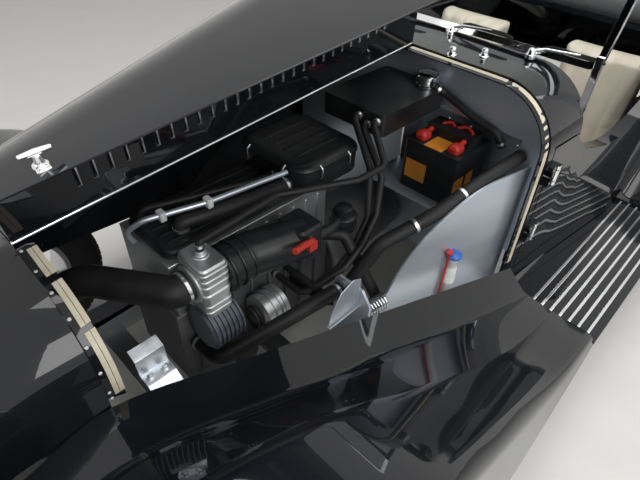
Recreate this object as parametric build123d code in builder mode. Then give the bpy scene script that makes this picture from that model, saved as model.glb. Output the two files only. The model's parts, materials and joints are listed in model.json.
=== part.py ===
from build123d import *
from math import cos, radians, sin
import os

# A two-seat sports roadster with separate wings and a louvred bonnet in two halves that
# hinge along the centre line. The left half stands open over the engine bay.
# +X is forward, +Y is left, +Z is up, the ground is z = 0, all sizes in millimetres.

# Stance
WHEELBASE = 2520
FRONT_AXLE_X = 1355
REAR_AXLE_X = FRONT_AXLE_X - WHEELBASE
TRACK = 1345
NOSE_X = 1915
TAIL_X = -1915
HALF_WIDTH = 825
FIT = 0.4
SEAT_GAP = 0.3
SHUT_GAP = 5

# Wheels
TYRE_RADIUS = 307
TYRE_WIDTH = 185
RIM_RADIUS = 200
SPOKES_PER_ROW = 16
SPOKE_RADIUS = 3.5
HUB_RADIUS = 42
STUB_RADIUS = 24
STUB_CLEARANCE = 0.06
WHEEL_Y = TRACK / 2
STEER_ANGLE = 33

# Bonnet, between the cowl and the scuttle
COWL_X = 1335
SCUTTLE_X = 215
BONNET_LAP = 15
BONNET_WALL = 3.0
BONNET_HINGE_GAP = 4.5
HINGE_ROD_RADIUS = 4
BONNET_OPEN = 86
FLANGE_DROP = 7
FLANGE_WALL = 3
SKIN = 6

# Body sections across the car: half width at the shoulder, height of the crown, its fall
# to the shoulder, shoulder radius, half width at the foot, height of the foot
COLUMNS = ("shoulder", "crown", "fall", "radius", "foot_y", "foot_z")
NOSE = dict(zip(COLUMNS, (205, 800, 60, 140, 215, 330)))
COWL_FRONT = dict(zip(COLUMNS, (236, 880, 48, 155, 232, 330)))
COWL = dict(zip(COLUMNS, (246, 894, 45, 160, 248, 668)))
SCUTTLE = dict(zip(COLUMNS, (480, 988, 6, 180, 493, 420)))
DASH = dict(zip(COLUMNS, (492, 1000, 8, 175, 507, 420)))
REAR_SHUT = dict(zip(COLUMNS, (556, 905, 8, 90, 565, 330)))
DECK = dict(zip(COLUMNS, (540, 925, 10, 110, 548, 330)))
TAIL_TOP = dict(zip(COLUMNS, (478, 850, 20, 120, 490, 360)))
TAIL = dict(zip(COLUMNS, (400, 640, 30, 110, 420, 400)))
SILL_Z = 330
SCUTTLE_LIP = 24

# Louvres in the bonnet's top
LOUVRE_FIRST_X = 1207
LOUVRE_PITCH = 33.2
LOUVRE_COUNT = 27
LOUVRE_WIDTH = 9
LOUVRE_NEAR = (48, 89)
LOUVRE_REACH = 0.7

# Doors
DOOR_FRONT_X = 165
DOOR_REAR_X = -480
DOOR_SILL_Z = 400
DOOR_WALL = 40
HINGE_PIN_RADIUS = 7
HINGE_Y = 506
HINGE_HEIGHTS = (560, 760)

# Chassis
RAIL_Y = 330
RAIL_WIDTH = 60
RAIL_LOW = 210
RAIL_TOP = 300
FLOOR_WALL = 12
BULKHEAD_X = 192

os.makedirs("parts", exist_ok=True)


def save(builder, name):
    """Label a finished piece and write it as its own STEP file."""
    builder.part.label = name
    export_step(builder.part, f"parts/{name}.step")


def half_skin(x, form, wall, side=1, start=BONNET_HINGE_GAP, drop=0):
    """Bent panel at station x: crown line, shoulder arc and side, set in by drop."""
    lines = []
    for inset in (drop, drop + wall):
        lines.append([
            (side * start, form["crown"] - inset),
            (side * (form["shoulder"] - inset), form["crown"] - form["fall"] - inset),
            (side * (form["foot_y"] - inset), form["foot_z"]),
        ])
    with BuildSketch(Plane.YZ.offset(x)) as profile:
        with BuildLine():
            outer = FilletPolyline(*lines[0], radius=form["radius"] - drop)
            inner = FilletPolyline(*lines[1], radius=form["radius"] - drop - wall)
            Line(outer @ 0, inner @ 0)
            Line(outer @ 1, inner @ 1)
        make_face()
    return profile.sketch


def closed_section(x, form, inset=0, foot_z=None):
    """Full cross-section at station x, with both shoulders, set in by a wall."""
    low = form["foot_z"] if foot_z is None else foot_z
    foot = form["foot_y"] - inset
    edge = form["shoulder"] - inset
    high = form["crown"] - inset
    with BuildSketch(Plane.YZ.offset(x)) as profile:
        with BuildLine():
            Polyline(
                (0, low), (foot, low), (edge, high - form["fall"]),
                (0, high), (-edge, high - form["fall"]), (-foot, low),
                close=True,
            )
        make_face()
        corners = profile.vertices().filter_by(lambda v: abs(abs(v.X) - edge) < 0.01 and v.Y > low + 1)
        fillet(corners, radius=form["radius"] - inset)
    return profile.sketch


def body_block(stations, inset=0, foot_z=None, ruled=True):
    """Solid between body sections, set in by a wall or grown by a negative one."""
    with BuildPart() as block:
        for x, form in stations:
            add(closed_section(x, form, inset, foot_z))
        loft(ruled=ruled)
    return block.part


def bonnet_form(x):
    """The bonnet's own section at station x, between those of the cowl and scuttle."""
    share = (COWL_X - x) / (COWL_X - SCUTTLE_X)
    return {key: COWL[key] + (SCUTTLE[key] - COWL[key]) * share for key in COLUMNS}


def lower_flange(rear_x, front_x, side):
    """Lip that a bonnet half lies on, set in below the bonnet's skin."""
    with BuildPart() as flange:
        for x in (rear_x, front_x):
            add(half_skin(x, bonnet_form(x), FLANGE_WALL, side, 0, FLANGE_DROP))
        loft(ruled=True)
    return flange.part


# Bonnet halves: the hinge runs down the centre line from scuttle to cowl
hinge_rise = SCUTTLE["crown"] - COWL["crown"]
hinge_axis = Axis((COWL_X, 0, COWL["crown"]), (SCUTTLE_X - COWL_X, 0, hinge_rise))


def bonnet_half(side, opened):
    """One louvred half, cut as it lies closed and then turned up about the hinge."""
    with BuildPart() as closed:
        add(half_skin(SCUTTLE_X - BONNET_LAP, SCUTTLE, BONNET_WALL, side))
        add(half_skin(COWL_X + BONNET_LAP, COWL, BONNET_WALL, side))
        loft(ruled=True)
        with BuildSketch(Plane.XY.offset(COWL["crown"] - 60)):
            for step in range(LOUVRE_COUNT):
                x = LOUVRE_FIRST_X - LOUVRE_PITCH * step
                share = (COWL_X - x) / (COWL_X - SCUTTLE_X)
                near = LOUVRE_NEAR[0] + (LOUVRE_NEAR[1] - LOUVRE_NEAR[0]) * share
                far = bonnet_form(x)["shoulder"] * LOUVRE_REACH
                with Locations((x, side * (near + far) / 2)):
                    Rectangle(LOUVRE_WIDTH, far - near)
        extrude(amount=hinge_rise + 120, mode=Mode.SUBTRACT)
    with BuildPart() as turned:
        add(closed.part.rotate(hinge_axis, -side * opened))
    return turned


save(bonnet_half(1, BONNET_OPEN), "bonnet_left")
save(bonnet_half(-1, 0), "bonnet_right")

# Scuttle, door surrounds and sills: one hoop of panels from the bonnet to the rear shut
scuttle_front = SCUTTLE_X - BONNET_LAP - 2
tub_rear = DOOR_REAR_X - SHUT_GAP
tub_stations = [(scuttle_front, SCUTTLE), (0, DASH), (tub_rear, REAR_SHUT)]
tub_solid = body_block(tub_stations, foot_z=SILL_Z)
tub_grown = body_block(tub_stations, inset=-FIT, foot_z=SILL_Z)
tub_hollow = body_block(tub_stations, inset=DOOR_WALL, foot_z=SILL_Z - 60)


def door_prism(grow):
    """The door's side view, with its dipped top edge, run right across the car."""
    front = DOOR_FRONT_X + grow
    rear = DOOR_REAR_X - grow
    low = DOOR_SILL_Z - grow
    with BuildPart() as prism:
        with BuildSketch(Plane.XZ.offset(-HALF_WIDTH)):
            with BuildLine():
                lift = 1.3 * grow
                Polyline((front, 830 + lift), (front, low), (rear, low), (rear, 820 + lift))
                dip = ThreePointArc((rear, 820 + lift), (-340, 735 + lift), (-200, 718 + lift))
                Polyline(dip @ 1, (-60, 750 + lift), (40, 830 + lift), (front, 830 + lift))
            make_face()
        extrude(amount=2 * HALF_WIDTH)
    return prism.part


SCREEN_FOOT_X = 30
hinge_x = DOOR_FRONT_X + SHUT_GAP / 2
with BuildPart() as body_tub:
    add(tub_solid)
    add(tub_hollow, mode=Mode.SUBTRACT)
    mouth = [(scuttle_front - DOOR_WALL, SCUTTLE), (scuttle_front + 5, SCUTTLE)]
    add(body_block(mouth, inset=SCUTTLE_LIP, foot_z=SILL_Z - 10), mode=Mode.SUBTRACT)
    with BuildSketch(Plane.XZ.offset(-HALF_WIDTH)):
        with BuildLine():
            Polyline(
                (SCREEN_FOOT_X, 1300), (SCREEN_FOOT_X, 830), (-60, 740), (-60, 700),
                (tub_rear - 5, 700), (tub_rear - 5, 1300), close=True,
            )
        make_face()
    extrude(amount=2 * HALF_WIDTH, mode=Mode.SUBTRACT)
    add(door_prism(SHUT_GAP), mode=Mode.SUBTRACT)
    for side in (1, -1):
        add(lower_flange(scuttle_front - 1, SCUTTLE_X + BONNET_LAP, side))
        for height in HINGE_HEIGHTS:
            for offset in (-24 - SEAT_GAP, 24 + SEAT_GAP):
                with Locations((hinge_x, side * HINGE_Y, height + offset)):
                    Cylinder(HINGE_PIN_RADIUS, 12)
                with Locations((hinge_x + 14, side * (HINGE_Y - 10), height + offset)):
                    Box(28, 20, 12)
save(body_tub, "body_tub")

# Doors: skins cut from the same hoop, hung on two outside hinges at their front edge
for side, name in ((1, "door_left"), (-1, "door_right")):
    with BuildPart() as door:
        add(tub_solid)
        add(tub_hollow, mode=Mode.SUBTRACT)
        add(door_prism(0), mode=Mode.INTERSECT)
        split(bisect_by=Plane.XZ, keep=Keep.TOP if side < 0 else Keep.BOTTOM)
        for height in HINGE_HEIGHTS:
            with Locations((hinge_x, side * HINGE_Y, height)):
                Cylinder(HINGE_PIN_RADIUS, 36)
            with Locations((hinge_x - 22, side * (HINGE_Y - 12), height)):
                Box(40, 22, 30)
    save(door, name)

# Rear body: rounded tail with the cockpit's rear edge cut in its top
rear_stations = [(tub_rear - FIT, REAR_SHUT), (-900, DECK), (-1400, TAIL_TOP), (-1790, TAIL)]
rear_solid = body_block(rear_stations, ruled=False)
rear_grown = body_block(rear_stations, inset=-FIT, ruled=False)
inner_stations = [(tub_rear + 20, REAR_SHUT), (-900, DECK), (-1400, TAIL_TOP), (-1770, TAIL)]
with BuildPart() as rear_body:
    add(rear_solid)
    add(body_block(inner_stations, inset=18, foot_z=300, ruled=False), mode=Mode.SUBTRACT)
    with BuildSketch(Plane.XY.offset(700)):
        with Locations(((tub_rear - 820) / 2 + 40, 0)):
            RectangleRounded(820 + tub_rear + 80, 2 * (REAR_SHUT["shoulder"] - 95), 70)
    extrude(amount=400, mode=Mode.SUBTRACT)
    with Locations((REAR_AXLE_X, 0, 330)):
        Box(130, 2 * HALF_WIDTH, 130, mode=Mode.SUBTRACT)
save(rear_body, "rear_body")

# Hinge rod: the bonnet halves turn on it, along the centre line
with BuildPart() as hinge_rod:
    rod_start = hinge_axis.position + hinge_axis.direction * -(BONNET_LAP + 1)
    with BuildSketch(Plane(origin=rod_start, z_dir=hinge_axis.direction)):
        Circle(HINGE_ROD_RADIUS)
    extrude(amount=(COWL_X - SCUTTLE_X + 2 * BONNET_LAP + 2))
save(hinge_rod, "hinge_rod")

# Radiator cowl: tapers to the grille opening, with a flange under the bonnet
cowl_rear = COWL_X + BONNET_LAP + 2
cowl_stations = [(cowl_rear, COWL), (1480, COWL_FRONT), (1690, NOSE)]
cowl_low = 330
cowl_solid = body_block(cowl_stations, foot_z=cowl_low)
cowl_grown = body_block(cowl_stations, inset=-FIT, foot_z=cowl_low - 1)
grille_plane = Plane(origin=(1650, 0, 560), x_dir=(0, 1, 0), z_dir=(cos(radians(12)), 0, sin(radians(12))))
with BuildPart() as radiator_cowl:
    add(cowl_solid)
    split(bisect_by=grille_plane, keep=Keep.BOTTOM)
    hollow = [(cowl_rear - 1, COWL), (1480, COWL_FRONT), (1692, NOSE)]
    add(body_block(hollow, inset=SKIN, foot_z=cowl_low - 20), mode=Mode.SUBTRACT)
    for side in (1, -1):
        add(lower_flange(COWL_X - BONNET_LAP, cowl_rear + 1, side))
    with Locations((cowl_rear + 3, 0, COWL["crown"] - 8)):
        Box(6, 60, 10)
save(radiator_cowl, "radiator_cowl")

# Grille: upright slats across the cowl's mouth, held by two cross bars
SLAT_PITCH = 24
SLAT_COUNT = 15
with BuildPart() as grille:
    with BuildSketch(grille_plane.offset(-26)):
        with GridLocations(SLAT_PITCH, 0, SLAT_COUNT, 1):
            Rectangle(4, 700)
        for level in (-180, 0, 150):
            with Locations((0, level)):
                Rectangle(2 * NOSE["shoulder"], 8)
    extrude(amount=14)
    add(body_block([(1400, COWL_FRONT), (1480, COWL_FRONT), (1692, NOSE)], inset=SKIN + 0.5,
                   foot_z=cowl_low + 6), mode=Mode.INTERSECT)
save(grille, "grille_slats")

with BuildPart() as radiator:
    with Locations((1500, 0, (RAIL_TOP + 745) / 2)):
        Box(46, 400, 745 - RAIL_TOP)
    with Locations((1500, 0, 762)):
        Box(54, 320, 36)
    with Locations((1475, 0, 560)):
        Cylinder(170, 14, rotation=(0, 90, 0))
save(radiator, "radiator")

# Front wings: inner edge on the bonnet's foot line, crown over the wheel, sweep to the
# running board. Columns: x, inner y, inner z, valley y, valley z, crown inner y,
# crown outer y, crown z, lip y, lip z
FRONT_WING = [
    (1885, 540, 430, 556, 440, 590, 690, 486, 725, 425),
    (1800, 420, 520, 450, 530, 540, 720, 620, 790, 420),
    (1660, 250, 570, 330, 585, 520, 740, 725, 818, 400),
    (1500, 240, 620, 350, 625, 520, 745, 785, 825, 410),
    (1352, 250, 660, 370, 650, 530, 745, 795, 825, 420),
    (1130, 297, 619, 420, 600, 560, 745, 745, 825, 400),
    (850, 358, 560, 470, 530, 610, 750, 590, 822, 360),
    (520, 429, 490, 520, 440, 650, 755, 430, 812, 330),
    (200, 496, 420, 560, 360, 660, 755, 348, 800, 312),
]


def wing_section(row, side):
    """Cross-section of a wing: valance, valley, crown and outer lip, one skin thick."""
    x, inner_y, inner_z, valley_y, valley_z, rise_y, fall_y, crown_z, lip_y, lip_z = row
    spans = []
    for inset in (0, SKIN):
        spans.append([
            (side * inner_y, inner_z - inset),
            (side * valley_y, valley_z - inset),
            (side * rise_y, crown_z - inset),
            (side * (fall_y + 30 - inset), crown_z - inset),
            (side * (lip_y - inset), lip_z),
        ])
    with BuildSketch(Plane.YZ.offset(x)) as profile:
        with BuildLine():
            outer = FilletPolyline(*spans[0], radius=(12, 30, 45))
            inner = FilletPolyline(*spans[1], radius=(12 + SKIN / 2, 30 - SKIN / 2, 45 - SKIN))
            Line(outer @ 0, inner @ 0)
            Line(outer @ 1, inner @ 1)
        make_face()
    return profile.sketch


def wing(rows, side, axle_x, arch_radius, clear_solids):
    """Wing lofted through its sections, with the round wheel arch cut in its side."""
    with BuildPart() as panel:
        for row in rows:
            add(wing_section(row, side))
        loft(ruled=True)
        with Locations((axle_x, side * HALF_WIDTH, TYRE_RADIUS)):
            Cylinder(arch_radius, 560, rotation=(90, 0, 0), mode=Mode.SUBTRACT)
        for solid in clear_solids:
            add(solid, mode=Mode.SUBTRACT)
    return panel


FRONT_ARCH = 345
REAR_ARCH = 335
LAMP_X = 1640
LAMP_Y = 395
LAMP_Z = 705
LAMP_RADIUS = 96


def lamp_bowl(side, grow):
    """Headlamp bowl: a cone behind a round rim, grown for the socket that it sits in."""
    with BuildPart() as bowl:
        with Locations((LAMP_X, side * LAMP_Y, LAMP_Z)):
            Cone(58 + grow, LAMP_RADIUS + grow, 130 + 2 * grow, rotation=(0, 90, 0))
    return bowl.part


for side, name in ((1, "front_wing_left"), (-1, "front_wing_right")):
    clear = [cowl_grown, tub_grown, lamp_bowl(side, SEAT_GAP)]
    save(wing(FRONT_WING, side, FRONT_AXLE_X, FRONT_ARCH, clear), name)

REAR_WING = [
    (-640, 545, 380, 590, 338, 660, 750, 348, 800, 312),
    (-760, 540, 500, 590, 455, 640, 750, 480, 806, 330),
    (-940, 535, 640, 590, 640, 650, 750, 680, 818, 360),
    (-1165, 515, 700, 580, 705, 650, 750, 765, 825, 400),
    (-1400, 470, 690, 560, 700, 640, 750, 735, 822, 400),
    (-1620, 440, 590, 540, 600, 620, 730, 620, 800, 390),
    (-1800, 430, 440, 510, 440, 600, 700, 450, 760, 380),
]
for side, name in ((1, "rear_wing_left"), (-1, "rear_wing_right")):
    save(wing(REAR_WING, side, REAR_AXLE_X, REAR_ARCH, [rear_grown, tub_grown]), name)

# Running boards: flat steps between the wings, under the sills
BOARD_TOP = 324
with BuildPart() as running_boards:
    with BuildSketch(Plane.XY.offset(RAIL_TOP)):
        for side in (1, -1):
            with BuildLine():
                Polyline(
                    (200 - FIT, side * 513), (200 - FIT, side * 800), (-640 + FIT, side * 800),
                    (-640 + FIT, side * 513), close=True,
                )
            make_face()
    extrude(amount=BOARD_TOP - RAIL_TOP)
save(running_boards, "running_boards")

SPRING_FRONT_X = -895
SPRING_REAR_X = -1480

# Chassis: two side rails that kick up over the rear axle, and cross-members
with BuildPart() as chassis_frame:
    for side in (1, -1):
        with BuildSketch(Plane.XZ.offset(-side * RAIL_Y)):
            with BuildLine():
                Polyline(
                    (1700, RAIL_LOW), (1700, RAIL_TOP), (-850, RAIL_TOP), (-960, 450), (-1360, 450),
                    (-1450, 380), (-1740, 380), (-1740, 310), (-1490, 310), (-1400, 370), (-930, 370),
                    (-830, RAIL_LOW), close=True,
                )
            make_face()
        extrude(amount=RAIL_WIDTH / 2, both=True)
    for x, low, high in (
        (1500, 215, RAIL_TOP - SEAT_GAP), (1180, 215, 245), (100, 215, RAIL_TOP - 1),
        (-780, 215, RAIL_TOP - 1), (-1600, 315, 375),
    ):
        with Locations((x, 0, (low + high) / 2)):
            Box(70, 2 * RAIL_Y, high - low)
    for side in (1, -1):
        with Locations((1500, side * 229, (RAIL_TOP + cowl_low) / 2 - 1)):
            Box(60, 10, cowl_low - RAIL_TOP + 2 - 2 * SEAT_GAP)
        for x in (150, -220, -600):
            with Locations((x, side * 540, RAIL_TOP - 15)):
                Box(50, 380, 30)
        with Locations((SPRING_FRONT_X + 15 + SEAT_GAP, side * RAIL_Y, 292)):
            Box(30, 50, 36)
        with Locations((SPRING_REAR_X - 15 - SEAT_GAP, side * RAIL_Y, 298)):
            Box(30, 50, 30)
save(chassis_frame, "chassis_frame")

with BuildPart() as floor_pan:
    with BuildSketch(Plane.XY.offset(RAIL_TOP)):
        with BuildLine():
            Polyline(
                (BULKHEAD_X - SEAT_GAP, 440), (-480, 512), (-820, 500), (-820, -500), (-480, -512),
                (BULKHEAD_X - SEAT_GAP, -440), close=True,
            )
        make_face()
    extrude(amount=FLOOR_WALL)
    with BuildSketch(Plane.YZ.offset(-820)):
        with BuildLine():
            tunnel = FilletPolyline((112, RAIL_TOP), (92, 480), (-92, 480), (-112, RAIL_TOP), radius=30)
            Line(tunnel @ 1, tunnel @ 0)
        make_face()
    extrude(amount=1010)
    with BuildSketch(Plane.YZ.offset(-821)):
        with BuildLine():
            duct = FilletPolyline((104, RAIL_TOP - 1), (84, 472), (-84, 472), (-104, RAIL_TOP - 1), radius=24)
            Line(duct @ 1, duct @ 0)
        make_face()
    extrude(amount=1012, mode=Mode.SUBTRACT)
save(floor_pan, "floor_pan")

# Engine bay panels in bare aluminium: bulkhead with a battery shelf, and side panels
SHELF_Z = 612
SIDE_PANEL_INSET = 50
panel_rear = (BULKHEAD_X, bonnet_form(BULKHEAD_X)["foot_y"] - SIDE_PANEL_INSET)
panel_front = (680, bonnet_form(680)["foot_y"] - SIDE_PANEL_INSET)
panel_run = Vector(panel_front[0] - panel_rear[0], panel_front[1] - panel_rear[1], 0).normalized()
panel_plane = Plane(origin=(*panel_rear, 0), x_dir=panel_run, z_dir=(panel_run.Y, -panel_run.X, 0))
with BuildPart() as bay_panels:
    add(closed_section(BULKHEAD_X, SCUTTLE, SCUTTLE_LIP + SEAT_GAP, RAIL_TOP + SEAT_GAP))
    extrude(amount=3, dir=(1, 0, 0))
    with Locations((BULKHEAD_X, 206, SHELF_Z + 110)):
        Box(20, 392, 220, mode=Mode.SUBTRACT)
    for side in (1, -1):
        with Locations((BULKHEAD_X, side * 500, 400)):
            Box(20, 2 * (500 - 440), 140, mode=Mode.SUBTRACT)
    with Locations((100 + 135, 206, SHELF_Z - 1.5)):
        Box(270, 386, 3)
    with BuildSketch(panel_plane):
        with BuildLine():
            Polyline((0, 330), (0, 770), (140, 770))
            ThreePointArc((140, 770), (430, 610), (500, 330))
            Line((500, 330), (0, 330))
        make_face()
    extrude(amount=3, both=True)
save(bay_panels, "bay_panels")

# Battery and junction box
BATTERY = (175, 180, 160)
with BuildPart() as battery:
    with Locations((325 - BATTERY[0] / 2, 206, SHELF_Z + SEAT_GAP + BATTERY[2] / 2)):
        Box(BATTERY[0], BATTERY[1], BATTERY[2])
    fillet(battery.edges().filter_by(Axis.Z), radius=6)
    with Locations((290, 150, SHELF_Z + BATTERY[2] + 6), (290, 262, SHELF_Z + BATTERY[2] + 6)):
        Box(36, 30, 14)
save(battery, "battery")

with BuildPart() as junction_box:
    with Locations((215, 206, SHELF_Z + BATTERY[2] + 15)):
        Box(70, 150, 28)
    fillet(junction_box.edges().filter_by(Axis.Z), radius=5)
save(junction_box, "junction_box")

with BuildPart() as header_tank:
    with Locations((340, 30, 868)):
        Box(289, 220, 62)
    fillet(header_tank.edges().filter_by(Axis.Z), radius=16)
    with Locations((235, 95, 899)):
        Cylinder(22, 22, align=(Align.CENTER, Align.CENTER, Align.MIN))
    with Locations((235, 95, 921)):
        Cylinder(31, 16, align=(Align.CENTER, Align.CENTER, Align.MIN))
save(header_tank, "header_tank")

# Engine: block, sump, cylinder head and ribbed cam cover, in line with the car
ENGINE_FRONT_X = 1120
ENGINE_REAR_X = 600
ENGINE_Y = -45
with BuildPart() as engine_block:
    with Locations((880, 185, RAIL_TOP + SEAT_GAP + 14), (880, -212, RAIL_TOP + SEAT_GAP + 14)):
        Box(60, 260, 28)
    with Locations(((ENGINE_FRONT_X + ENGINE_REAR_X) / 2, ENGINE_Y, 430)):
        Box(ENGINE_FRONT_X - ENGINE_REAR_X, 230, 260)
    with Locations(((ENGINE_FRONT_X + ENGINE_REAR_X) / 2, ENGINE_Y, 260)):
        Box(ENGINE_FRONT_X - ENGINE_REAR_X - 80, 200, 80)
    with Locations(((ENGINE_FRONT_X + ENGINE_REAR_X) / 2, ENGINE_Y, 640)):
        Box(ENGINE_FRONT_X - ENGINE_REAR_X - 20, 220, 160)
    with Locations(((ENGINE_FRONT_X + ENGINE_REAR_X) / 2, ENGINE_Y, 745)):
        Box(ENGINE_FRONT_X - ENGINE_REAR_X - 40, 200, 50)
    with Locations((ENGINE_REAR_X - 200, ENGINE_Y, 400)):
        Cone(100, 150, 400, rotation=(0, 90, 0))
save(engine_block, "engine_block")

with BuildPart() as intake_manifold:
    with BuildLine():
        FilletPolyline((1014, 122, 690), (950, 122, 690), (800, 160, 690), (670, 160, 690), radius=(90, 120))
    with BuildSketch(Plane(origin=(1014, 122, 690), z_dir=(-1, 0, 0))):
        Circle(55)
    sweep()
    for x in (700, 790, 880):
        with Locations((x, ENGINE_Y + 110 + SEAT_GAP, 660)):
            Box(34, 60, 40, align=(Align.CENTER, Align.MIN, Align.CENTER))
save(intake_manifold, "intake_manifold")

with BuildPart() as throttle_housing:
    with Locations((1052, ENGINE_Y + 110 + SEAT_GAP, 680)):
        Box(70, 100, 150, align=(Align.CENTER, Align.MIN, Align.CENTER))
    fillet(throttle_housing.edges().filter_by(Axis.Z), radius=14)
    with Locations((1050, 130, 560)):
        Cylinder(58, 80, rotation=(0, 90, 0))
save(throttle_housing, "throttle_housing")

with BuildPart() as airbox:
    with BuildSketch(Plane.XY.offset(770 + SEAT_GAP)):
        with Locations((680, -40)):
            RectangleRounded(290, 300, 60)
    extrude(amount=78)
    fillet(airbox.faces().sort_by(Axis.Z)[-1].edges(), radius=28)
save(airbox, "airbox")

hose_start_y = ENGINE_Y + 115 + SEAT_GAP
with BuildPart() as coolant_hoses:
    with BuildLine():
        FilletPolyline(
            (740, hose_start_y, 450), (740, 230, 450), (640, 290, 650), (500, 355, 715), (362, 386, 760),
            (BULKHEAD_X + 8, 412, 790), radius=(60, 70, 90, 90),
        )
    with BuildSketch(Plane(origin=(740, hose_start_y, 450), z_dir=(0, 1, 0))):
        Circle(19)
    sweep()
save(coolant_hoses, "coolant_hose")

with BuildPart() as washer_filler:
    with BuildSketch(Plane.XY.offset(400)):
        with Locations((440, 415)):
            Circle(13)
    extrude(amount=160)
    with BuildSketch(Plane.XY.offset(560)):
        with Locations((440, 415)):
            Circle(17)
    extrude(amount=16)
save(washer_filler, "washer_filler")

# Front suspension arms, coil dampers and steering rack
KING_PIN_Y = 590
arm_foot = RAIL_Y + RAIL_WIDTH / 2 + SEAT_GAP
with BuildPart() as front_suspension:
    for side in (1, -1):
        with BuildSketch(Plane.XY.offset(218)):
            with BuildLine():
                Polyline(
                    (1240, side * arm_foot), (1470, side * arm_foot), (1460, side * 400), (1368, side * 560),
                    (1366, side * 598), (1344, side * 598), (1342, side * 560), (1250, side * 400), close=True,
                )
            make_face()
            with BuildLine():
                Polyline((1270, side * 402), (1440, side * 402), (1356, side * 530), close=True)
            make_face(mode=Mode.SUBTRACT)
        extrude(amount=20)
save(front_suspension, "front_suspension")

# Steering knuckles: upright, stub axle, steering arm and brake disc
for side, name in ((1, "knuckle_left"), (-1, "knuckle_right")):
    with BuildPart() as knuckle:
        with Locations((FRONT_AXLE_X, side * KING_PIN_Y, 238 + SEAT_GAP)):
            Cylinder(8, 20, align=(Align.CENTER, Align.CENTER, Align.MIN))
        with Locations((FRONT_AXLE_X, side * KING_PIN_Y, 310)):
            Box(60, 34, 130)
        with Locations((FRONT_AXLE_X, side * (KING_PIN_Y + 74), TYRE_RADIUS)):
            Cylinder(STUB_RADIUS, 120, rotation=(90, 0, 0))
        with Locations((FRONT_AXLE_X, side * (KING_PIN_Y + 26), TYRE_RADIUS)):
            Cylinder(120, 12, rotation=(90, 0, 0))
        with Locations((FRONT_AXLE_X - 70, side * (KING_PIN_Y - 10), 262)):
            Box(120, 16, 22)
    save(knuckle, name)


def tyre_and_rim(axle_x, side, tag):
    """Tyre with rounded shoulders, and a wire wheel that turns on its stub axle."""
    centre = Plane(origin=(axle_x, side * WHEEL_Y, TYRE_RADIUS), x_dir=(1, 0, 0), z_dir=(0, side, 0))
    half = TYRE_WIDTH / 2
    with BuildPart() as tyre:
        with BuildSketch(Plane(origin=centre.origin, x_dir=(0, side, 0), z_dir=(-side, 0, 0))):
            with BuildLine():
                Polyline(
                    (-78, RIM_RADIUS), (-half, RIM_RADIUS + 50), (-half + 5, TYRE_RADIUS - 17),
                    (-half + 22, TYRE_RADIUS), (half - 22, TYRE_RADIUS), (half - 5, TYRE_RADIUS - 17),
                    (half, RIM_RADIUS + 50), (78, RIM_RADIUS), close=True,
                )
            make_face()
        revolve(axis=Axis((axle_x, 0, TYRE_RADIUS), (0, 1, 0)))
    save(tyre, f"tyre_{tag}")
    with BuildPart() as rim:
        with BuildSketch(centre.offset(-76)):
            Circle(RIM_RADIUS - 0.3)
            Circle(RIM_RADIUS - 14, mode=Mode.SUBTRACT)
        extrude(amount=152)
        with BuildSketch(centre.offset(-30)):
            Circle(HUB_RADIUS)
            Circle(STUB_RADIUS + STUB_CLEARANCE, mode=Mode.SUBTRACT)
        extrude(amount=90)
        with BuildSketch(centre.offset(60)):
            Circle(HUB_RADIUS)
        extrude(amount=14)
        for row, (hub_w, rim_w, twist) in enumerate(((48, 20, 9), (-20, -10, -9))):
            for step in range(SPOKES_PER_ROW):
                turn = radians((step + row / 2) * 360 / SPOKES_PER_ROW)
                far = turn + radians(twist if step % 2 else -twist)
                foot = centre.from_local_coords((36 * cos(turn), 36 * sin(turn), hub_w))
                head = centre.from_local_coords((190 * cos(far), 190 * sin(far), rim_w))
                spoke = Plane(origin=foot, z_dir=head - foot)
                with BuildSketch(spoke):
                    Rectangle(2 * SPOKE_RADIUS, 2 * SPOKE_RADIUS)
                extrude(amount=(head - foot).length)
    save(rim, f"rim_{tag}")


for axle_x, side, tag in (
    (FRONT_AXLE_X, 1, "front_left"), (FRONT_AXLE_X, -1, "front_right"),
    (REAR_AXLE_X, 1, "rear_left"), (REAR_AXLE_X, -1, "rear_right"),
):
    tyre_and_rim(axle_x, side, tag)

with BuildPart() as rear_axle:
    with Locations((REAR_AXLE_X, 0, TYRE_RADIUS)):
        Cylinder(STUB_RADIUS, 2 * (WHEEL_Y + 52), rotation=(90, 0, 0))
        Cylinder(38, 2 * (WHEEL_Y - 60), rotation=(90, 0, 0))
        Sphere(105)
save(rear_axle, "rear_axle")

# Rear leaf springs: clamped under the axle, hung from brackets on the rails
LEAF_WALL = 12
leaf_top = TYRE_RADIUS - 38 - SEAT_GAP
with BuildPart() as rear_springs:
    for side in (1, -1):
        with BuildSketch(Plane.XZ.offset(-side * RAIL_Y)):
            with BuildLine():
                upper = ThreePointArc((SPRING_FRONT_X, 300), (REAR_AXLE_X, leaf_top), (SPRING_REAR_X, 305))
                lower = ThreePointArc(
                    (SPRING_FRONT_X, 300 - LEAF_WALL), (REAR_AXLE_X, leaf_top - 2 * LEAF_WALL),
                    (SPRING_REAR_X, 305 - LEAF_WALL),
                )
                Line(upper @ 0, lower @ 0)
                Line(upper @ 1, lower @ 1)
            make_face()
        extrude(amount=24, both=True)
save(rear_springs, "rear_springs")

with BuildPart() as exhaust:
    with BuildLine():
        FilletPolyline((700, -180, 200), (300, -220, 170), (-1400, -220, 170), (-1860, -260, 250), radius=(60, 200))
    with BuildSketch(Plane(origin=(700, -180, 200), z_dir=(-400, -40, -30))):
        Circle(24)
    sweep()
    with Locations((100, -220, 203), (-780, -220, 203)):
        Box(20, 8, 2 * (12 - SEAT_GAP))
save(exhaust, "exhaust")

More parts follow.
